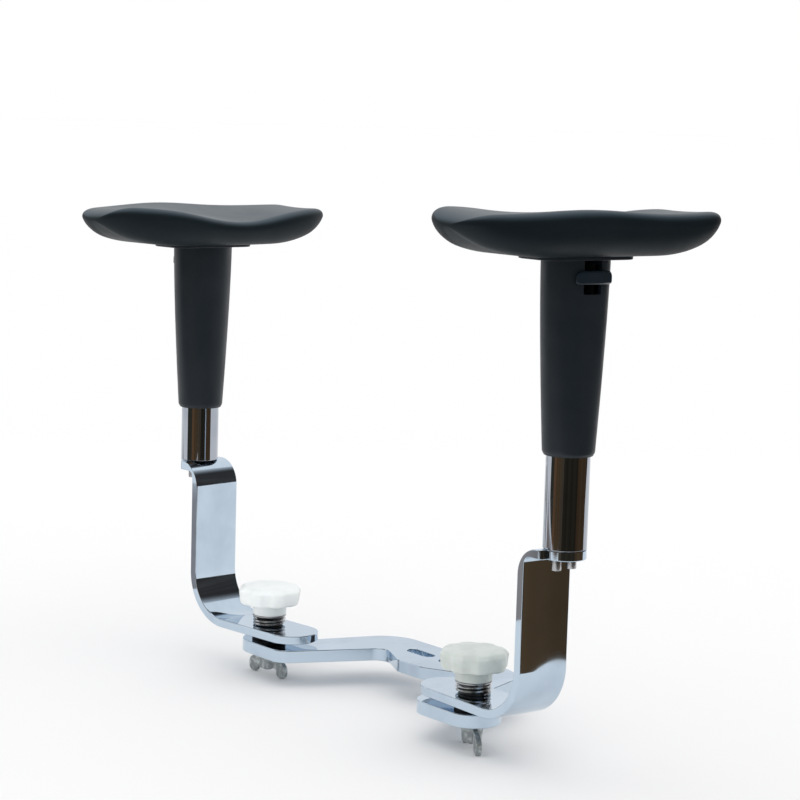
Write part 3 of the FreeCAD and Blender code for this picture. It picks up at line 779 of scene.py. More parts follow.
@dataclass(frozen=True)
class PadSkin(Finish):
    """Skin of the moulded foam, with a fine pebble grain and a painted highlight that makes its upward
    faces paler.
    """

    slot: str = "pad"
    deep: Colour = (0.0024, 0.0088, 0.0132)
    worn: Colour = (0.0046, 0.0124, 0.0174)
    # Pale colour of the painted highlight on the upward faces.
    top_highlight: Colour = (0.034, 0.060, 0.080)
    pebble: float = 0.9 * MM

    def paint(self, graph: Graph) -> None:
        """Pebbles with finer creases, cloudy tone and a painted highlight on the upward faces.

        Args:
            graph: the material's tree.
        """
        # Painted highlight: the more a face looks up, the more it is mixed towards the pale colour and
        # given a coat, so the top reads as lit.
        painted_top_light = graph.band(graph.upward(), 0.3, 1.0)
        pebble = graph.band(graph.cells(self.pebble), 0.0, 0.22)
        crease = graph.noise(0.35 * MM, 2.0)
        cloud = graph.noise(0.045, 4.0)
        skin = graph.tint(cloud, self.deep, self.worn)
        graph.surface(
            Base_Color=graph.tint(painted_top_light * (0.8 + 0.4 * cloud), skin, self.top_highlight),
            Roughness=graph.band(cloud, 0.3, 0.7, 0.48, 0.58) + 0.05 * (1 - pebble),
            Normal=graph.bump(pebble * 0.7 + crease * 0.3, 0.07 * MM, 0.4),
            Specular_IOR_Level=0.2,
            # Coat on the upward faces only, part of the painted top highlight.
            Coat_Weight=0.3 * painted_top_light,
            Coat_Roughness=0.3,
        )


@dataclass(frozen=True)
class KnobPlastic(Finish):
    """Milky satin moulding of a hand knob."""

    clean: Colour
    handled: Colour

    def paint(self, graph: Graph) -> None:
        """Faint flow clouds and fine moulded grain.

        Args:
            graph: the material's tree.
        """
        cloud = graph.band(graph.noise(0.012, 4.0), 0.35, 0.75)
        grain = graph.noise(0.5 * MM, 2.0)
        graph.surface(
            Base_Color=graph.tint(cloud, self.clean, self.handled),
            Roughness=graph.band(cloud, 0.2, 0.8, 0.36, 0.48) + grain * 0.05,
            Normal=graph.bump(grain, 0.03 * MM, 0.3),
            Subsurface_Weight=0.25,
            Subsurface_Radius=(0.004, 0.004, 0.0035),
            Subsurface_Scale=1.0,
        )


@dataclass(frozen=True)
class ZincCast(Finish):
    """Dull zinc casting with a sandy skin and brighter rubbed spots."""

    slot: str = "zinc"
    dull: Colour = (0.31, 0.34, 0.345)
    rubbed: Colour = (0.57, 0.61, 0.615)

    def paint(self, graph: Graph) -> None:
        """Sandy bump and mottled tarnish.

        Args:
            graph: the material's tree.
        """
        sand = graph.noise(0.7 * MM, 3.0)
        mottle = graph.band(graph.noise(5 * MM, 4.0), 0.4, 0.7)
        graph.surface(
            Base_Color=graph.tint(mottle, self.dull, self.rubbed),
            Metallic=0.85,
            Roughness=0.52 - 0.16 * mottle + 0.1 * sand,
            Normal=graph.bump(sand, 0.12 * MM, 0.5),
        )


@dataclass(frozen=True)
class SpringWire(Finish):
    """Drawn spring wire, bright on its crests."""

    slot: str = "spring_wire"
    dark: Colour = (0.30, 0.31, 0.32)
    bright: Colour = (0.62, 0.63, 0.64)

    def paint(self, graph: Graph) -> None:
        """Drawing lines and patches of oil.

        Args:
            graph: the material's tree.
        """
        lines = graph.noise(0.25 * MM, 2.0, (0.15, 0.15, 1.0))
        patch = graph.band(graph.noise(4 * MM, 3.0), 0.4, 0.7)
        graph.surface(
            Base_Color=graph.tint(patch, self.bright, self.dark),
            Metallic=1.0,
            Roughness=0.18 + 0.14 * lines,
            Normal=graph.bump(lines, 0.02 * MM, 0.5),
        )


@dataclass(frozen=True)
class FrictionLining(Finish):
    """Matt black pressed lining."""

    slot: str = "friction"
    black: Colour = (0.006, 0.006, 0.007)
    dust: Colour = (0.03, 0.03, 0.03)

    def paint(self, graph: Graph) -> None:
        """Pressed fibres with a little dust.

        Args:
            graph: the material's tree.
        """
        fibre = graph.noise(0.6 * MM, 4.0)
        dust = graph.band(graph.noise(3 * MM, 3.0), 0.5, 0.8)
        graph.surface(
            Base_Color=graph.tint(dust, self.black, self.dust),
            Roughness=0.5 + 0.25 * fibre,
            Normal=graph.bump(fibre, 0.1 * MM, 0.6),
        )


@dataclass(frozen=True)
class TurnedSteel(Finish):
    """Bright turned steel with fine tool rings."""

    slot: str = "steel"
    bright: Colour = (0.55, 0.56, 0.58)
    dull: Colour = (0.40, 0.41, 0.42)

    def paint(self, graph: Graph) -> None:
        """Tool rings along the axis and cloudy oil.

        Args:
            graph: the material's tree.
        """
        rings = graph.noise(0.3 * MM, 1.0, (0.05, 0.05, 1.0))
        cloud = graph.noise(6 * MM, 3.0)
        graph.surface(
            Base_Color=graph.tint(cloud, self.bright, self.dull),
            Metallic=1.0,
            Roughness=0.2 + 0.15 * rings,
            Normal=graph.bump(rings, 0.02 * MM, 0.5),
        )


@dataclass(frozen=True)
class BushPlastic(Finish):
    """Black sliding plastic of the hidden guides."""

    slot: str = "bush_plastic"
    deep: Colour = (0.014, 0.015, 0.017)
    pale: Colour = (0.026, 0.027, 0.03)

    def paint(self, graph: Graph) -> None:
        """Fine turning marks and cloudy gloss.

        Args:
            graph: the material's tree.
        """
        marks = graph.noise(0.4 * MM, 2.0, (0.1, 0.1, 1.0))
        cloud = graph.noise(8 * MM, 3.0)
        graph.surface(
            Base_Color=graph.tint(cloud, self.deep, self.pale),
            Roughness=0.38 + 0.12 * marks,
            Normal=graph.bump(marks, 0.02 * MM, 0.4),
        )


class Workshop:
    """Finishes the pieces and hands them to the frame."""

    def __init__(self, nodes: dict[str, bpy.types.Object]) -> None:
        """Keeps the CAD nodes by name."""
        self.nodes = nodes

    def fit(self, thing: bpy.types.Object, finish: Finish, body: str | None, node: str) -> None:
        """Dresses a new piece and lets it stand for a CAD node.

        Args:
            thing: new piece in its place.
            finish: its finish.
            body: body that it rides on, or None for a piece that rides on no body.
            node: CAD node that it stands for.
        """
        thing.data.materials.clear()
        thing.data.materials.append(finish.material())
        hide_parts(node)
        if body is not None:
            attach(thing, body)
        LOG.info("%s: %d points, for %s", thing.name, len(thing.data.vertices), node)

    def dress(self, finish: Finish, *names: str) -> None:
        """Gives CAD nodes that stay a finish.

        Args:
            finish: their finish.
            names: the nodes.
        """
        for name in names:
            materials = self.nodes[name].data.materials
            materials.clear()
            materials.append(finish.material())
            LOG.info("%s: CAD mesh in %s", name, finish.slot)


@dataclass(frozen=True)
class Stand:
    """Upright axis of an arm with the heading of its own X axis."""

    spot: Vector
    turn: float

    def at(self, height: float) -> Matrix:
        """Seat on the axis at a height."""
        lift = Matrix.Translation((self.spot.x, self.spot.y, height))
        return lift @ Matrix.Rotation(self.turn, 4, "Z")


def axis_of(node: str) -> Vector:
    """Middle of a CAD node's box, which lies on its axis where it is round."""
    low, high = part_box(node)
    return (low + high) / 2


def turned_ring(inner: float, outer: float, high: float, edge: float) -> Shell:
    """Ring with softened edges that stands on the XY plane.

    Args:
        inner: radius of its hole.
        outer: its outer radius.
        high: its height.
        edge: radius of its edges.

    Returns:
        The ring about the Z axis.
    """
    stops = oblong((inner, outer), (0.0, high), edge, COARSE)
    return Shell().spin(stops)


def coil_shell(radius: float, wire: float, turns: float, high: float,
               per_turn: int = 64, sides: int = 16) -> Shell:
    """Coil of round wire that stands on the XY plane.

    Args:
        radius: radius of the wire's middle line.
        wire: radius of the wire.
        turns: number of turns.
        high: height of the whole coil.
        per_turn: rings of points in one turn.
        sides: points round the wire.

    Returns:
        The coil about the Z axis.
    """
    steps = int(turns * per_turn)
    climb = high - 2 * wire
    shell = Shell()
    rings = []
    for step in range(steps + 1):
        share = step / steps
        angle = 2 * math.pi * turns * share
        out = Vector((math.cos(angle), math.sin(angle), 0))
        spot = out * radius + Vector((0, 0, wire + climb * share))
        rings.append(shell.ring([
            spot + (out * math.cos(b) + Vector((0, 0, math.sin(b)))) * wire
            for b in (-2 * math.pi * part / sides for part in range(sides))
        ]))
    return shell.tube(rings)


@dataclass
class LinkPlate:
    """Bow-shaped plate under both pivots, with two bolt slots."""

    shop: Workshop
    bar_wide: float = 0.050
    front_reach: float = 0.050
    neck_half: float = 0.0555
    neck_drop: float = 0.015
    nose_half: float = 0.016
    nose_drop: float = 0.034
    back_half: float = 0.092
    back_flare: float = 0.030
    corner_out: float = 0.040
    corner_in: float = 0.014
    corner_front: float = 0.018
    slot_half_gap: float = 0.023
    slot_long: float = 0.034
    slot_wide: float = 0.0125
    stud_hole: float = 0.00508
    edge: float = 0.0009

    def outline(self, pivot: Vector, back: float) -> list[Stop]:
        """Outer edge of the plate.

        Args:
            pivot: axis of the right pivot.
            back: place of the back edge.

        Returns:
            The outline, anticlockwise.
        """
        half = self.bar_wide / 2
        front, behind = pivot.y - half, pivot.y + half
        half_plate = [
            Corner(self.nose_half, -self.nose_drop, self.corner_in),
            Corner(self.neck_half, -self.neck_drop, self.corner_in),
            Corner(pivot.x - self.front_reach, front, self.corner_front),
            Corner(pivot.x + half, front, half - HAIR),
            Corner(pivot.x + half, behind, half - HAIR),
            Corner(self.back_half + self.back_flare, behind, self.corner_in),
            Corner(self.back_half, back, self.corner_out),
        ]
        mirrored = [Corner(-corner.x, corner.y, corner.radius) for corner in reversed(half_plate)]
        return rounded(half_plate + mirrored)

    def slot(self, middle: float) -> list[Stop]:
        """One bolt slot, clockwise.

        Args:
            middle: place of its middle along X.

        Returns:
            The edge of the slot.
        """
        long, wide = self.slot_long / 2, self.slot_wide / 2
        walk = ((-long, -wide), (-long, wide), (long, wide), (long, -wide))
        return rounded([Corner(middle + x, y, wide - HAIR) for x, y in walk])

    def build(self) -> None:
        """Makes the plate."""
        low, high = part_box("link_plate")
        pivot = axis_of("right_friction_disc")
        holes = [ring_hole(way * pivot.x, pivot.y, self.stud_hole) for way in (1, -1)]
        slots = [self.slot(way * self.slot_half_gap) for way in (1, -1)]
        shell = Shell().slab([self.outline(pivot, high.y), *holes, *slots], high.z - low.z, self.edge)
        self.shop.fit(shell.piece("plate_bow"), Chrome(), "base", "link_plate")


@dataclass
class Assembly:
    """Sub-assembly of one arm, with the workshop that fits its pieces."""

    shop: Workshop
    side: Side

    def __post_init__(self) -> None:
        """Finds the arm's two upright axes, both heading from pivot to post."""
        pivot = axis_of(self.node("friction_disc"))
        post = axis_of(self.node("post_tube"))
        turn = math.atan2(post.y - pivot.y, post.x - pivot.x)
        self.pivot = Stand(pivot, turn)
        self.post = Stand(post, turn)

    def node(self, name: str) -> str:
        """Name of the arm's CAD node or body."""
        return f"{self.side.value}_{name}"

    def coil(self, name: str, stand: Stand, radius: float, wire: float, turns: float,
             bodies: tuple[str, str]) -> None:
        """Makes a coil in place between two bodies, riding on neither.

        Args:
            name: the coil's CAD node.
            stand: its axis.
            radius: radius of the wire's middle line.
            wire: radius of the wire.
            turns: number of turns.
            bodies: the bodies under and over it; not used.
        """
        node = self.node(name)
        low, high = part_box(node)
        piece = coil_shell(radius, wire, turns, high.z - low.z).piece(f"{node}_wire", stand.at(low.z))
        self.shop.fit(piece, SpringWire(), None, node)
        under, over = (self.node(body) for body in bodies)
        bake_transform(piece)


@dataclass
class Bracket(Assembly):
    """Flat bar bent to a Z, with a round foot end and a narrower round end on its top tab."""

    wide: float = 0.050
    thick: float = 0.008
    foot_inward: float = 0.058
    leg_out: float = 0.0867
    foot_bend: float = 0.044
    tab_inner: float = 0.006
    tab_outer: float = 0.024
    tab_end: float = 0.018
    shoulder: float = 0.004
    stud_hole: float = 0.00508
    bolt_hole: float = 0.00308
    bolt_gap: float = 0.008
    edge: float = 0.0008
    bend_steps: int = 36

    def __post_init__(self) -> None:
        """Works out where the bends lie along the bar."""
        super().__post_init__()
        low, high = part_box(self.node("bracket"))
        self.leg_high = high.z - low.z - self.thick
        self.tab_root = self.leg_out - self.thick / 2 + self.tab_outer
        self.tab_low = self.leg_high + self.thick - self.tab_outer
        self.foot_from = self.leg_out - self.foot_bend
        self.foot_to = self.foot_from + self.foot_bend * math.pi / 2
        self.tab_from = self.foot_to + self.tab_low - self.foot_bend - self.thick / 2
        self.tab_to = self.tab_from + self.tab_outer * math.pi / 2
        self.post_along = self.tab_to + (self.post.spot - self.pivot.spot).xy.length - self.tab_root

    def inner_turn(self, share: float) -> tuple[Vector, float]:
        """Underside of the tab's bend: a tight arc between two short straights.

        Args:
            share: share of the bend's length.

        Returns:
            Place in the bar's long section and slope angle.
        """
        run = self.tab_outer - self.thick - self.tab_inner
        arc = self.tab_inner * math.pi / 2
        along = share * (2 * run + arc)
        root = Vector((self.leg_out + self.thick / 2, self.tab_low))
        if along <= run:
            return root + Vector((0, along)), math.pi / 2
        if along >= run + arc:
            return root + Vector((self.tab_inner + along - run - arc, run + self.tab_inner)), 0.0
        angle = (along - run) / self.tab_inner
        turn = Vector((1 - math.cos(angle), math.sin(angle))) * self.tab_inner
        return root + Vector((0, run)) + turn, math.pi / 2 - angle

    def outer_turn(self, share: float) -> tuple[Vector, float]:
        """Upper side of the tab's bend, one wide arc.

        Args:
            share: share of the bend's length.

        Returns:
            Place in the bar's long section and slope angle.
        """
        angle = share * math.pi / 2
        turn = Vector((-math.cos(angle), math.sin(angle))) * self.tab_outer
        return Vector((self.tab_root, self.tab_low)) + turn, math.pi / 2 - angle

    def bent(self, point: Vector) -> tuple[Vector, float]:
        """Where a point of the flat bar lies once it is bent.

        Args:
            point: point of the flat bar, along it from the pivot and up from its underside.

        Returns:
            Distance from the pivot and height, and the slope angle there.
        """
        along, high = point.x, point.z
        if along <= self.foot_from:
            return Vector((along, high)), 0.0
        if along <= self.foot_to:
            angle = (along - self.foot_from) / self.foot_bend
            centre = Vector((self.foot_from, self.foot_bend + self.thick / 2))
            return centre + Vector((math.sin(angle), -math.cos(angle))) * (centre.y - high), angle
        if along <= self.tab_from:
            rise = self.foot_bend + self.thick / 2 + along - self.foot_to
            return Vector((self.leg_out + self.thick / 2 - high, rise)), math.pi / 2
        if along <= self.tab_to:
            share = (along - self.tab_from) / (self.tab_to - self.tab_from)
            (inner, low_slope), (outer, high_slope) = self.inner_turn(share), self.outer_turn(share)
            depth = high / self.thick
            return inner.lerp(outer, depth), low_slope + (high_slope - low_slope) * depth
        return Vector((self.tab_root + along - self.tab_to, self.leg_high + high)), 0.0

    def warp(self, point: Vector) -> Vector:
        """Place of a point of the flat bar once it is bent."""
        spot = self.bent(point)[0]
        return Vector((spot.x, point.y, spot.y))

    def swing(self, point: Vector, normal: Vector) -> Vector:
        """Normal of the flat bar once it is bent."""
        turned = Matrix.Rotation(self.bent(point)[1], 2) @ Vector((normal.x, normal.z))
        return Vector((turned.x, normal.y, turned.y))

    def stations(self) -> list[float]:
        """Rows of points that the bends need.

        Returns:
            Their places along the flat bar.
        """
        rows = []
        for start, end in ((self.foot_from, self.foot_to), (self.tab_from, self.tab_to)):
            rows += [start + (end - start) * step / self.bend_steps for step in range(self.bend_steps + 1)]
        return rows

    def build(self) -> None:
        """Makes the bracket."""
        half, end = self.wide / 2, self.tab_end
        rows = self.stations()
        tip = self.post_along + end
        outline = rounded([
            Corner(-self.foot_inward, -half, half - HAIR),
            *[Corner(row, -half) for row in rows],
            Corner(self.post_along, -half, self.shoulder),
            Corner(self.post_along, -end, HAIR / 2),
            Corner(tip, -end, end - HAIR),
            Corner(tip, end, end - HAIR),
            Corner(self.post_along, end, HAIR / 2),
            Corner(self.post_along, half, self.shoulder),
            *[Corner(row, half) for row in reversed(rows)],
            Corner(-self.foot_inward, half, half - HAIR),
        ])
        holes = [ring_hole(0.0, 0.0, self.stud_hole)]
        holes += [ring_hole(self.post_along, way * self.bolt_gap, self.bolt_hole) for way in (1, -1)]
        shell = Shell().slab([outline, *holes], self.thick, self.edge, ties_at(rows, outline))
        node = self.node("bracket")
        seat = self.pivot.at(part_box(node)[0].z)
        piece = shell.bend(self.warp, self.swing).piece(f"{node}_bar", seat)
        self.shop.fit(piece, Chrome(), self.node("arm"), node)


@dataclass
class Post(Assembly):
    """Tube on the bracket's tab, with the two socket bolts under it."""

    tube_edge: float = 0.0006
    tube_wall: float = 0.002
    shank: float = 0.003
    head_edge: float = 0.0006
    head_round: float = 0.3
    neck_edge: float = 0.0002
    socket: float = 0.0025
    socket_deep: float = 0.004
    socket_cone: float = 0.001
    socket_lead: float = 0.0003
    socket_flare: float = 1.06
    sides: int = 48
    crease: float = math.radians(35)

    def bolt(self, radius: float, head: float) -> Shell:
        """Socket bolt with its head down, the head's upper face at Z 0.

        Args:
            radius: radius of the head.
            head: height of the head.

        Returns:
            The bolt.
        """
        angles = [2 * math.pi * part / self.sides for part in range(self.sides)]
        sixth = math.pi / 3
        hexagon = [1 / math.cos((angle + sixth / 2) % sixth - sixth / 2) for angle in angles]
        circle = [1.0] * self.sides
        deep, edge = self.socket_deep, self.head_edge
        profile = [
            (hexagon, 0.0, deep - self.socket_cone - head),
            (hexagon, self.socket, deep - head),
            (hexagon, self.socket, self.socket_lead - head),
            (hexagon, self.socket * self.socket_flare, -head),
            (circle, radius - edge, -head),
            (circle, radius - edge * self.head_round, edge * self.head_round - head),
            (circle, radius, edge - head),
            (circle, radius, -self.neck_edge),
            (circle, radius - self.neck_edge, 0.0),
            (circle, self.shank, 0.0),
            (circle, self.shank, head),
        ]
        shell = Shell()
        rings = []
        for form, reach, height in profile:
            rings.append(shell.ring([
                Vector((reach * share * math.cos(a), reach * share * math.sin(a), height))
                for a, share in zip(angles, form)
            ]))
        shell.stack(rings)
        return shell

    def build(self) -> None:
        """Makes the tube and its bolts."""
        node, arm = self.node("post_tube"), self.node("arm")
        low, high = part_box(node)
        radius = (high.x - low.x) / 2
        tube = turned_ring(radius - self.tube_wall, radius, high.z - low.z, self.tube_edge)
        self.shop.fit(tube.piece(f"{node}_chromed", self.post.at(low.z)), TubeChrome(), arm, node)
        tab_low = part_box(self.node("bracket"))[1].z - Bracket.thick
        for end in ("front", "rear"):
            name = self.node(f"tab_bolt_{end}")
            low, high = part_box(name)
            shell = self.bolt((high.x - low.x) / 2, tab_low - low.z)
            piece = shell.piece(f"{name}_socket", Matrix.Translation((*axis_of(name).xy, tab_low)))
            piece.data.set_sharp_from_angle(angle=self.crease)
            self.shop.fit(piece, TurnedSteel(), arm, name)
        self.shop.dress(TurnedSteel(), self.node("post_plug"))


@dataclass
class Sleeve(Assembly):
    """Tapered oval cover with its trigger, guides and base plate."""

    foot_radius: float = 0.0212
    top_x: float = 0.0222
    top_y: float = 0.03125
    swell: float = 1.5
    lip: float = 0.003
    lip_steps: int = 6
    bore: float = 0.0196
    mouth_edge: float = 0.0004
    roof: float = 0.0035
    rings: int = 48
    sides: int = 128
    crease: float = math.radians(32)
    channel_wide: float = 0.018
    channel_deep: float = 0.027
    channel_corner: float = 0.0015
    channel_over: float = 0.002
    paddle_wide: float = 0.0345
    paddle_high: float = 0.011
    paddle_thick: float = 0.005
    paddle_curve: float = 0.044
    paddle_edge: float = 0.0022
    paddle_brow: float = 0.0052
    paddle_heel: float = 0.0024
    paddle_flat: float = 0.66
    paddle_rows: int = 16
    tongue_wide: float = 0.016
    tongue_high: float = 0.006
    tongue_corner: float = 0.001
    tongue_edge: float = 0.0005
    fit_gap: float = 0.0003
    coil_radius: float = 0.0065
    coil_wire: float = 0.0004
    coil_turns: float = 2.0
    plate_x: float = 0.050
    plate_y: float = 0.094
    plate_corner: float = 0.016
    plate_edge: float = 0.0007

    def skin(self, long: float) -> Shell:
        """Cover with its lip, bore and roof.

        Args:
            long: length of the cover.

        Returns:
            The closed shell, standing on its mouth.
        """
        bore, mouth = self.bore, self.bore + self.mouth_edge
        rows = [(bore, bore, long - self.roof), (bore, bore, self.mouth_edge), (mouth, mouth, 0.0)]
        for step in range(self.lip_steps):
            angle = math.pi / 2 * step / self.lip_steps
            radius = self.foot_radius - self.lip * (1 - math.sin(angle))
            if radius > mouth:
                rows.append((radius, radius, self.lip * (1 - math.cos(angle))))
        for step in range(self.rings + 1):
            height = self.lip + (long - self.lip) * step / self.rings
            share = height / long
            full = 1 - (1 - share) ** self.swell
            rows.append((
                self.foot_radius + (self.top_x - self.foot_radius) * share,
                self.foot_radius + (self.top_y - self.foot_radius) * full,
                height,
            ))
        angles = [2 * math.pi * part / self.sides for part in range(self.sides)]
        shell = Shell()
        return shell.tube([
            shell.ring([Vector((x * math.cos(a), y * math.sin(a), z)) for a in angles]) for x, y, z in rows
        ])

    def cutter(self, long: float) -> bpy.types.Object:
        """Block that opens the trigger's channel.

        Args:
            long: length of the cover.

        Returns:
            The block, in the cover's own axes.
        """
        wide, top = self.channel_wide / 2, self.channel_deep + self.channel_over
        corners = [Corner(wide, 0.0, self.channel_corner), Corner(wide, top),
                   Corner(-wide, top), Corner(-wide, 0.0, self.channel_corner)]
        shell = Shell().slab([rounded(corners)], self.top_x * 2, HAIR)
        tilt = Matrix(((0, 0, 1, 0), (1, 0, 0, 0), (0, 1, 0, long - self.channel_deep), (0, 0, 0, 1)))
        return shell.piece(self.node("channel_cutter"), tilt)

    def cover(self) -> None:
        """Makes the cover with its channel."""
        node = self.node("sleeve")
        low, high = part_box(node)
        long = high.z - low.z
        piece = self.skin(long).piece(f"{node}_cover")
        cutter = self.cutter(long)
        cut = piece.modifiers.new("Channel", "BOOLEAN")
        cut.object = cutter
        cut.solver = "EXACT"
        cut.operation = "DIFFERENCE"
        frozen(piece)
        bpy.data.objects.remove(cutter)
        piece.data.transform(self.post.at(low.z))
        piece.data.shade_smooth()
        piece.data.set_sharp_from_angle(angle=self.crease)
        self.shop.fit(piece, MouldedPlastic(), self.node("rest"), node)

    def warp(self, point: Vector) -> Vector:
        """Wraps the flat paddle round the cover.

        Args:
            point: point of the flat paddle.

        Returns:
            Its place on the wrapped one.
        """
        angle, reach = point.x / self.paddle_curve, self.paddle_curve + point.z
        centre = self.top_x + self.fit_gap - self.paddle_curve
        return Vector((centre + reach * math.cos(angle), reach * math.sin(angle), point.y))

    def swing(self, point: Vector, normal: Vector) -> Vector:
        """Normal of the wrapped paddle."""
        turned = Matrix.Rotation(point.x / self.paddle_curve, 2) @ Vector((normal.z, normal.x))
        return Vector((turned.x, turned.y, normal.y))

    def trigger(self) -> None:
        """Makes the curved paddle on its tongue."""
        node = self.node("trigger")
        half, tall, count = self.paddle_wide / 2, self.paddle_high / 2, self.paddle_rows
        rows = [half * (2 * step / count - 1) * self.paddle_flat for step in range(count + 1)]
        outline = rounded([
            Corner(-half, -tall, self.paddle_heel),
            *[Corner(row, -tall) for row in rows],
            Corner(half, -tall, self.paddle_heel),
            Corner(half, tall, self.paddle_brow),
            *[Corner(row, tall) for row in reversed(rows)],
            Corner(-half, tall, self.paddle_brow),
        ])
        paddle = Shell().slab([outline], self.paddle_thick, self.paddle_edge, ties_at(rows, outline))
        paddle.bend(self.warp, self.swing)
        end = self.top_x + self.fit_gap + self.paddle_thick / 2
        wide = self.tongue_wide / 2
        bar = oblong((-wide, end), (-wide, wide), self.tongue_corner)
        tongue = Shell().slab([bar], self.tongue_high, self.tongue_edge)
        tongue.turned(Matrix.Translation((0, 0, -self.tongue_high / 2)))
        piece = paddle.join(tongue).piece(f"{node}_paddle", self.post.at(axis_of(node).z))
        self.shop.fit(piece, PolishedPlastic(), self.node("release"), node)

    def plate(self) -> None:
        """Makes the plate between cover and pad."""
        node = self.node("base_plate")
        low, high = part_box(node)
        x, y = self.plate_x / 2, self.plate_y / 2
        shell = Shell().slab([oblong((-x, x), (-y, y), self.plate_corner)], high.z - low.z, self.plate_edge)
        piece = shell.piece(f"{node}_panel", self.post.at(low.z))
        self.shop.fit(piece, MouldedPlastic(), self.node("rest"), node)

    def build(self) -> None:
        """Makes the cover and what it carries."""
        self.cover()
        self.trigger()
        self.plate()
        guides = ("guide_bush", "inner_stem", "brake_collet")
        self.shop.dress(BushPlastic(), *(self.node(name) for name in guides))
        metal = ("release_rod", "plate_screw_front", "plate_screw_rear")
        self.shop.dress(TurnedSteel(), *(self.node(name) for name in metal))
        self.coil("trigger_spring", self.post, self.coil_radius - self.coil_wire, self.coil_wire,
                  self.coil_turns, ("release", "rest"))


@dataclass
class Pad(Assembly):
    """Moulded foam pad: boat-shaped below, a twisted saddle on top."""

    long: float = 0.270
    wide: float = 0.100
    shift: float = 0.0035
    squareness: float = 3.0
    keel_wide: float = 0.052
    keel_long: float = 0.114
    keel_rise: float = 0.017
    keel_taper: float = 0.5
    keel_power: float = 1.5
    belly_out: float = 0.76
    belly_up: float = 0.21
    hip_up: float = 0.62
    brow_in: float = 0.28
    brow_down: float = 0.3
    rim_round: float = 0.009
    outer_rim: float = 0.0333
    crest_rise: float = 0.0045
    crest_forward: float = 0.027
    crest_spread: float = 0.060
    inner_rim: float = 0.0375
    inner_dip: float = 0.0145
    dip_back: float = 0.008
    dip_spread: float = 0.064
    inner_rear_fall: float = 0.0025
    outer_rear_rise: float = 0.003
    nose_reach: float = 0.028
    nose_high: float = 0.0245
    nose_power: float = 2.0
    seat_dish: float = 0.0012
    stations: int = 72
    tip: float = 0.9995
    keel_points: int = 8
    flank_points: int = 12
    rim_points: int = 8
    seat_points: int = 20

    @staticmethod
    def hump(place: float, centre: float, spread: float) -> float:
        """Smooth hump of height 1 along a line."""
        return math.exp(-((place - centre) / spread) ** 2)

    @staticmethod
    def round_off(place: float, power: float) -> float:
        """Quarter of a superellipse, from 1 at place 0 to 0 at place 1."""
        return (1 - place ** power) ** (1 / power)

    def section(self, place: float) -> list[Vector]:
        """Outline of the pad across one station, the outer side on +X.

        Args:
            place: share of the half length, -1 at the front.

        Returns:
            Points across and up, anticlockwise.
        """
        half_long = self.long / 2
        run = place * half_long
        share = self.round_off(abs(place), self.squareness)
        wide = self.wide / 2 * share
        flat = self.keel_long / 2
        past = max(0.0, (abs(run) - flat) / (half_long - flat))
        keel = self.keel_rise * past ** 2
        keel_half = self.keel_wide / 2 * share * (1 - self.keel_taper * past ** self.keel_power)
        outer = self.outer_rim + self.outer_rear_rise * max(0.0, place) ** 2
        outer += self.crest_rise * self.hump(run, -self.crest_forward, self.crest_spread)
        inner = self.inner_rim - self.inner_rear_fall * max(0.0, place)
        inner -= self.inner_dip * self.hump(run, self.dip_back, self.dip_spread)
        into_nose = max(0.0, 1 - (half_long - abs(run)) / self.nose_reach)
        open_nose = self.round_off(into_nose, self.nose_power)
        keel, outer, inner = (
            self.nose_high + (level - self.nose_high) * open_nose for level in (keel, outer, inner)
        )
        rim = min(self.rim_round, wide / 3, (min(outer, inner) - keel) / 3)

        def flank(way: float, high: float) -> list[Vector]:
            """One side of the section.

            Args:
                way: 1 for the outer side, -1 for the inner.
                high: height of its crest.

            Returns:
                Foot, belly, hip, brow and crest.
            """
            tall = high - keel
            belly = keel_half + (wide - keel_half) * self.belly_out
            return [
                Vector((way * keel_half, keel)),
                Vector((way * belly, keel + tall * self.belly_up)),
                Vector((way * wide, keel + tall * self.hip_up)),
                Vector((way * (wide - rim * self.brow_in), high - rim * self.brow_down)),
                Vector((way * (wide - rim), high)),
            ]

        right, left = flank(1, outer), flank(-1, inner)
        dish = Vector((0, (outer + inner) / 2 - self.seat_dish * share))
        points = [left[0].lerp(right[0], part / self.keel_points) for part in range(self.keel_points)]
        points += arc_through(*right[0:3], self.flank_points)
        points += arc_through(*right[2:5], self.rim_points)
        points += arc_through(right[4], dish, left[4], self.seat_points)
        points += arc_through(*reversed(left[2:5]), self.rim_points)
        points += arc_through(*reversed(left[0:3]), self.flank_points)
        return points

    def build(self) -> None:
        """Makes the pad."""
        node = self.node("pad")
        shell = Shell()
        rings = []
        for step in range(self.stations + 1):
            place = math.sin(math.pi * (step / self.stations - 0.5)) * self.tip
            along = self.side.facing * (place * self.long / 2 + self.shift)
            rings.append(shell.ring([Vector((spot.x, along, spot.y)) for spot in self.section(place)]))
        piece = shell.tube(rings).piece(f"{node}_foam", self.post.at(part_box(node)[0].z))
        form = bmesh.new()
        form.from_mesh(piece.data)
        bmesh.ops.recalc_face_normals(form, faces=form.faces)
        form.to_mesh(piece.data)
        form.free()
        smooth = piece.modifiers.new("Smooth", "SUBSURF")
        smooth.levels = smooth.render_levels = 1
        frozen(piece)
        self.shop.fit(piece, PadSkin(), self.node("rest"), node)


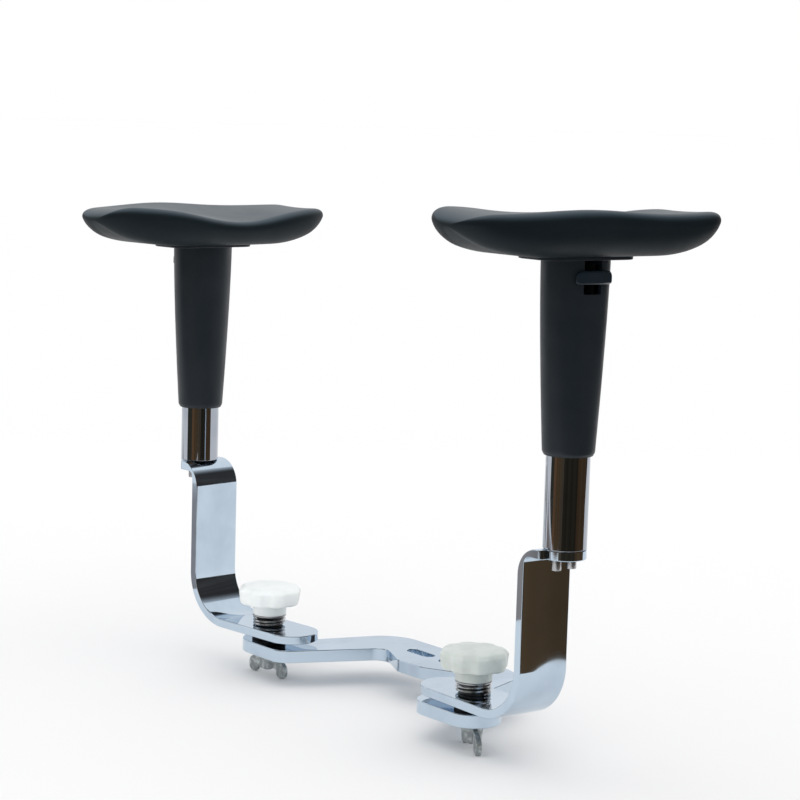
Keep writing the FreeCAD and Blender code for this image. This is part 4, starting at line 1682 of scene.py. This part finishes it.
@dataclass
class Clamp(Assembly):
    """Knob with its stud, coil and washers, and the wing nut below."""

    nut_turn: float
    knob_finish: KnobPlastic
    knob_radius: float = 0.030
    knob_sides: int = 240
    knob_step: float = 0.0012
    knob_arc: float = math.radians(8)
    head_high: float = 0.017
    dome: float = 0.0022
    dome_reach: float = 0.5
    dome_share: float = 0.8
    dome_round: float = 0.012
    crown_in: float = 0.0034
    crown_rise: float = 0.0002
    crown_round: float = 0.005
    brow_drop: float = 0.0032
    brow_round: float = 0.0024
    under_in: float = 0.0016
    under_rise: float = 0.0006
    under_round: float = 0.0032
    hub_radius: float = 0.016
    hub_high: float = 0.0095
    hub_edge: float = 0.0008
    neck_rise: float = 0.0002
    neck_round: float = 0.0012
    lobes: int = 8
    scallop_radius: float = 0.017
    scallop_deep: float = 0.0022
    scallop_soft: float = 0.0005
    scallop_from: float = 0.62
    scallop_over: float = 0.22
    stud_radius: float = 0.005
    stud_sides: int = 40
    stud_gap: float = 0.0003
    thread_pitch: float = 0.0015
    thread_deep: float = 0.0008
    thread_flank: float = 2.6
    thread_rows: int = 8
    lead_long: float = 0.001
    lead_deep: float = 0.0007
    thread_crease: float = math.radians(50)
    coil_gap: float = 0.0005
    coil_wire: float = 0.0011
    coil_turns: float = 2.25
    nut_hub: float = 0.010
    nut_tip: float = 0.00825
    nut_hub_high: float = 0.0155
    nut_span: float = 0.0525
    nut_high: float = 0.0225
    nut_sides: int = 64
    wing_thick: float = 0.0046
    wing_lobe: float = 0.00625
    wing_root: float = 0.002
    wing_foot: float = 0.001
    wing_drop: float = 0.002
    crotch_rise: float = 0.0005
    crotch_round: float = 0.0015
    wing_back: float = 0.007
    shoulder_out: float = 0.003
    shoulder_drop: float = 0.0035
    shoulder_round: float = 0.005
    voxel: float = 0.0004
    edge: float = 0.0004

    def scallop(self, angle: float) -> float:
        """Depth of the scallops at an angle round the knob.

        Args:
            angle: angle from the middle of one scallop.

        Returns:
            How far the rim lies inside the full circle.
        """
        pitch = 2 * math.pi / self.lobes
        off = (angle + pitch / 2) % pitch - pitch / 2
        centre = self.knob_radius - self.scallop_deep + self.scallop_radius
        square = self.scallop_radius ** 2 - (centre * math.sin(off)) ** 2
        if square <= 0:
            return 0.0
        depth = self.knob_radius - (centre * math.cos(off) - math.sqrt(square))
        soft = self.scallop_soft
        return 0.5 * (depth + math.sqrt(depth ** 2 + soft ** 2)) if depth > -4 * soft else 0.0

    def profile(self) -> list[Vector]:
        """Half section of the knob from its bore to the middle of its top.

        Returns:
            Closely spaced points, with the radius as x and the height as y.
        """
        rim, hub, top = self.knob_radius, self.hub_high, self.hub_high + self.head_high
        stops = rounded([
            Corner(self.stud_radius, 0.0),
            Corner(self.hub_radius, 0.0, self.hub_edge),
            Corner(self.hub_radius, hub + self.neck_rise, self.neck_round),
            Corner(rim - self.under_in, hub + self.under_rise, self.under_round),
            Corner(rim, top - self.brow_drop, self.brow_round),
            Corner(rim - self.crown_in, top + self.crown_rise, self.crown_round),
            Corner(rim * self.dome_reach, top + self.dome * self.dome_share, self.dome_round),
            Corner(0.0, top + self.dome),
        ], closed=False, step=self.knob_arc)
        spots = [Vector((stop.x, stop.y)) for stop in stops]
        points = []
        for spot, after in zip(spots, spots[1:]):
            count = int((after - spot).length / self.knob_step) + 1
            points += [spot.lerp(after, part / count) for part in range(count)]
        return points + spots[-1:]

    def knob(self) -> None:
        """Makes the lobed knob on its hub."""
        node = self.node("knob")
        sides = self.knob_sides
        angles = [2 * math.pi * part / sides for part in range(sides)]
        shell = Shell()
        rings = []
        for radius, height in self.profile():
            if radius < HAIR:
                rings.append(shell.ring([Vector((0, 0, height))]) * sides)
                continue
            fade = (radius / self.knob_radius - self.scallop_from) / self.scallop_over
            fade = min(1.0, max(0.0, fade)) if height >= self.hub_high else 0.0
            fade = fade * fade * (3 - 2 * fade)
            reach = [radius - self.scallop(a) * fade for a in angles]
            rings.append(shell.ring([
                Vector((r * math.cos(a), r * math.sin(a), height)) for r, a in zip(reach, angles)
            ]))
        shell.stack(rings)
        piece = shell.piece(f"{node}_lobed", self.pivot.at(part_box(node)[0].z))
        self.shop.fit(piece, self.knob_finish, self.node("knob"), node)

    def stud(self) -> None:
        """Makes the threaded stud."""
        node = self.node("stud")
        low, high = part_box(node)
        sides, long = self.stud_sides, high.z - low.z
        rows = int(long / self.thread_pitch * self.thread_rows)
        shell = Shell()
        rings = [shell.ring([Vector((0, 0, 0))]) * sides]
        for row in range(rows + 1):
            height = long * row / rows
            lead = self.lead_deep * (1 - min(1.0, height / self.lead_long))
            ring = []
            for part in range(sides):
                angle = 2 * math.pi * part / sides
                phase = (height / self.thread_pitch - part / sides) % 1.0
                groove = max(0.0, 1 - abs(phase - 0.5) * self.thread_flank)
                radius = self.stud_radius - self.thread_deep * groove - lead
                ring.append(Vector((radius * math.cos(angle), radius * math.sin(angle), height)))
            rings.append(shell.ring(ring))
        rings.append(shell.ring([Vector((0, 0, long))]) * sides)
        shell.stack(rings)
        piece = shell.piece(f"{node}_threaded", self.pivot.at(low.z))
        piece.data.set_sharp_from_angle(angle=self.thread_crease)
        self.shop.fit(piece, TurnedSteel(), self.node("knob"), node)

    def wing(self) -> Shell:
        """One upright wing of the nut, on the +X side below Z 0.

        Returns:
            The wing.
        """
        near, far = self.nut_span / 2 - 2 * self.wing_lobe, self.nut_span / 2
        root, lobe = self.stud_radius + self.wing_root, self.wing_lobe - HAIR
        outline = rounded([
            Corner(root, self.wing_foot - self.nut_hub_high, self.edge),
            Corner(near, self.crotch_rise - self.nut_hub_high, self.crotch_round),
            Corner(near, -self.nut_high, lobe),
            Corner(far, -self.nut_high, lobe),
            Corner(far, 2 * self.wing_lobe - self.nut_high, self.wing_back),
            Corner(self.nut_hub + self.shoulder_out, -self.shoulder_drop, self.shoulder_round),
            Corner(root, -self.wing_drop, self.edge),
        ])
        upright = Matrix.Rotation(math.pi / 2, 4, "X") @ Matrix.Translation((0, 0, -self.wing_thick / 2))
        return Shell().slab([outline], self.wing_thick, self.edge).turned(upright)

    def nut(self) -> None:
        """Makes the cast wing nut."""
        node = self.node("wing_nut")
        bore = self.stud_radius + HAIR
        hub = rounded([
            Corner(bore, -self.nut_hub_high, self.edge),
            Corner(self.nut_tip, -self.nut_hub_high, self.edge),
            Corner(self.nut_hub, 0.0, self.edge),
            Corner(bore, 0.0, self.edge),
        ], step=COARSE)
        cast = Shell().spin(hub, self.nut_sides)
        for way in (0.0, math.pi):
            cast.join(self.wing().turned(Matrix.Rotation(way, 4, "Z")))
        cast.normals.clear()
        piece = cast.piece(f"{node}_cast")
        melt = piece.modifiers.new("Cast", "REMESH")
        melt.mode = "VOXEL"
        melt.voxel_size = self.voxel
        relax = piece.modifiers.new("Fillet", "SMOOTH")
        relax.factor = 0.5
        relax.iterations = 6
        frozen(piece)
        lift = Matrix.Translation((*self.pivot.spot.xy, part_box(node)[1].z))
        piece.data.transform(lift @ Matrix.Rotation(self.nut_turn, 4, "Z"))
        piece.data.shade_smooth()
        self.shop.fit(piece, ZincCast(), self.node("nut"), node)

    def rings(self) -> None:
        """Makes the friction disc, the washers and the bush inside the coil."""
        parts = (
            ("friction_disc", FrictionLining(), "base", 0.5 * MM),
            ("clamp_washer", TurnedSteel(), self.node("clamp"), 0.3 * MM),
            ("wing_washer", ZincCast(), self.node("nut_seat"), 0.3 * MM),
            ("coil_bush", BushPlastic(), self.node("arm"), 0.6 * MM),
        )
        for name, finish, body, edge in parts:
            node = self.node(name)
            low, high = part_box(node)
            ring = turned_ring(self.stud_radius + self.stud_gap, (high.x - low.x) / 2, high.z - low.z, edge)
            self.shop.fit(ring.piece(f"{node}_turned", self.pivot.at(low.z)), finish, body, node)

    def build(self) -> None:
        """Makes the whole clamp."""
        self.rings()
        self.knob()
        self.stud()
        low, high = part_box(self.node("coil_bush"))
        radius = (high.x - low.x) / 2 + self.coil_gap + self.coil_wire
        self.coil("clamp_spring", self.pivot, radius, self.coil_wire, self.coil_turns, ("arm", "clamp"))
        self.nut()


@dataclass(frozen=True)
class Card:
    """Upright curtain of the dark room, in plan from start to end, paler towards its top."""

    name: str
    start: tuple[float, float]
    end: tuple[float, float]
    colour: Colour
    foot: float = 0.0
    top: float = 2.0
    fade: float = 1.1
    hem: float = 0.014
    wave: float = 0.071
    streak: float = 0.3
    pale: Colour = (0.75, 0.77, 0.80)

    def outline(self, level: float, steps: int = 96) -> list[Vector]:
        """Edge of the curtain, with a scalloped hem.

        Args:
            level: height of the floor.
            steps: points along the hem.

        Returns:
            The corners of the sheet.
        """
        start, end = Vector(self.start), Vector(self.end)
        long = (end - start).length
        low, high = level + self.foot, level + self.top
        points = []
        for step in range(steps + 1):
            share = step / steps
            lift = self.hem * abs(math.sin(math.pi * share * long / self.wave))
            points.append(Vector((*start.lerp(end, share), low + lift)))
        return points + [Vector((*end, high)), Vector((*start, high))]


@dataclass
class Studio:
    """White floor, soft light, a dark room in front for the chrome, and the camera."""

    camera_spot: Vector = field(default_factory=lambda: Vector((1.524181, -1.298539, 0.513635)))
    camera_aim: Vector = field(default_factory=lambda: Vector((-0.76792539, 0.62736774, -0.12922971)))
    camera_roll: float = math.radians(1.689)
    lens: float = 99.176
    sensor: float = 36.0
    floor_half: float = 60.0
    floor_colour: Colour = (0.925, 0.925, 0.93)
    cards: tuple[Card, ...] = (
        Card("room_front_left", (-0.70, -1.0), (-0.16, -1.0), (0.055, 0.052, 0.040)),
        Card("room_front_middle", (-0.16, -1.0), (0.09, -1.0), (0.180, 0.100, 0.050)),
        Card("room_front_right", (0.09, -1.0), (0.50, -1.0), (0.110, 0.070, 0.036)),
        Card("room_side_front", (0.50, -1.0), (0.50, -0.52), (0.095, 0.072, 0.050)),
        Card("room_side_near", (0.50, -0.52), (0.50, -0.05), (0.031, 0.026, 0.018)),
        Card("room_side_far", (0.50, -0.05), (0.50, 0.45), (0.093, 0.056, 0.030)),
        Card("room_back", (0.50, 0.45), (0.0, 1.2), (0.050, 0.046, 0.044), foot=0.13, hem=0.05, wave=0.4),
        Card("low_left", (-0.95, -0.30), (-0.35, -0.30), (0.34, 0.31, 0.31), top=0.13, fade=0.05),
        Card("low_right", (-0.35, -0.43), (0.10, -0.43), (0.34, 0.29, 0.27), top=0.13, fade=0.05),
        Card("back_sheet", (-2.1, -0.06), (-0.62, 1.83), (0.88, 0.90, 0.93), foot=0.1, top=0.65, fade=0.25,
             streak=0.04, pale=(1.0, 1.0, 1.0)),
    )
    sky: float = 0.93
    lamp_power: float = 0.5
    lamp_spread: float = math.radians(70)
    lamp_from: Vector = field(default_factory=lambda: Vector((0.15, -0.25, 1.0)))

    def camera(self) -> None:
        """Sets the camera at the photograph's angle."""
        data = bpy.data.cameras.new("view")
        data.lens = self.lens
        data.sensor_width = self.sensor
        thing = placed("view", data)
        turn = self.camera_aim.to_track_quat("-Z", "Y").to_matrix().to_4x4()
        roll = Matrix.Rotation(self.camera_roll, 4, "Z")
        thing.matrix_world = Matrix.Translation(self.camera_spot) @ turn @ roll
        bpy.context.scene.camera = thing

    def sheet(self, name: str, points: Sequence[Vector], material: bpy.types.Material) -> bpy.types.Object:
        """Flat sheet of the stage.

        Args:
            name: name of the sheet.
            points: its corners.
            material: its material.

        Returns:
            The sheet.
        """
        mesh = bpy.data.meshes.new(name)
        mesh.from_pydata(points, [], [tuple(range(len(points)))])
        mesh.materials.append(material)
        thing = placed(name, mesh)
        thing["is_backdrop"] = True
        return thing

    def floor(self, level: float) -> None:
        """Lays the pale floor.

        Args:
            level: its height.
        """
        made, graph = blank("floor_paper")
        tooth = graph.noise(2 * MM, 3.0)
        graph.surface(
            Base_Color=(*self.floor_colour, 1.0),
            Roughness=graph.band(tooth, 0.3, 0.7, 0.85, 0.95),
            Specular_IOR_Level=0.1,
        )
        half = self.floor_half
        corners = [Vector((x * half, y * half, level)) for x, y in ((-1, -1), (1, -1), (1, 1), (-1, 1))]
        self.sheet("floor", corners, made)

    def wall_paint(self, card: Card) -> bpy.types.Material:
        """Dim streaky glow of one curtain.

        Args:
            card: the curtain.

        Returns:
            Its material.
        """
        made, graph = blank(card.name)
        streak = graph.band(graph.noise(0.1, 2.0, (1.0, 1.0, 0.1)), 0.3, 0.75)
        dim = tuple(part * (1 - card.streak) for part in card.colour)
        warm = tuple(part * (1 + card.streak) for part in card.colour)
        rise = graph.band(graph.height(), card.top - card.fade, card.top)
        colour = graph.tint(rise, graph.tint(streak, dim, warm), card.pale)
        glow = graph.node("ShaderNodeEmission", None, {"Color": colour, "Strength": 1.0})
        graph.node("ShaderNodeOutputMaterial", None, {"Surface": glow.outputs["Emission"]})
        return made

    def room(self, level: float) -> None:
        """Stands the dark room in front, which only the gloss sees.

        Args:
            level: height of the floor.
        """
        for card in self.cards:
            wall = self.sheet(card.name, card.outline(level), self.wall_paint(card))
            wall.visible_camera = False
            wall.visible_diffuse = False
            wall.visible_shadow = False
            wall.visible_transmission = False

    def light(self) -> None:
        """Lights the white surround and the broad soft lamp overhead."""
        world = bpy.data.worlds.new("surround")
        bpy.context.scene.world = world
        world.use_nodes = True
        graph = Graph(world.node_tree)
        path = graph.node("ShaderNodeLightPath")
        seen = [Value(graph, path.outputs[name]) for name in
                ("Is Camera Ray", "Is Glossy Ray", "Is Transmission Ray")]
        shown = seen[0] + seen[1] + seen[2]
        strength = graph.band(shown, 0.0, 1.0, self.sky, 1.0)
        sockets = {"Color": (1.0, 1.0, 1.0, 1.0), "Strength": strength}
        back = graph.node("ShaderNodeBackground", None, sockets)
        graph.node("ShaderNodeOutputWorld", None, {"Surface": back.outputs["Background"]})
        lamp = bpy.data.lights.new("softbox", "SUN")
        lamp.energy = self.lamp_power
        lamp.angle = self.lamp_spread
        thing = placed("softbox", lamp)
        thing.matrix_world = self.lamp_from.to_track_quat("Z", "Y").to_matrix().to_4x4()

    def build(self) -> None:
        """Sets the stage under the lowest pieces."""
        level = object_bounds()[0].z - HAIR
        self.floor(level)
        self.room(level)
        self.light()
        self.camera()
        bpy.context.scene.view_settings.view_transform = "Standard"


def main() -> None:
    """Builds the pieces on the frame, then the stage."""
    logging.basicConfig(level=logging.INFO, format="%(message)s")
    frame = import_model()
    shop = Workshop(frame["nodes"])
    LinkPlate(shop).build()
    nut_turns = {Side.LEFT: math.radians(4), Side.RIGHT: math.radians(-26)}
    knobs = {
        Side.LEFT: KnobPlastic("left_knob", (0.93, 0.98, 0.985), (0.88, 0.935, 0.94)),
        Side.RIGHT: KnobPlastic("right_knob", (0.66, 0.715, 0.69), (0.60, 0.65, 0.62)),
    }
    for side in Side:
        Clamp(shop, side, nut_turns[side], knobs[side]).build()
        for assembly in (Bracket, Post, Sleeve, Pad):
            assembly(shop, side).build()
    Studio().build()


if __name__ == "__main__":
    main()
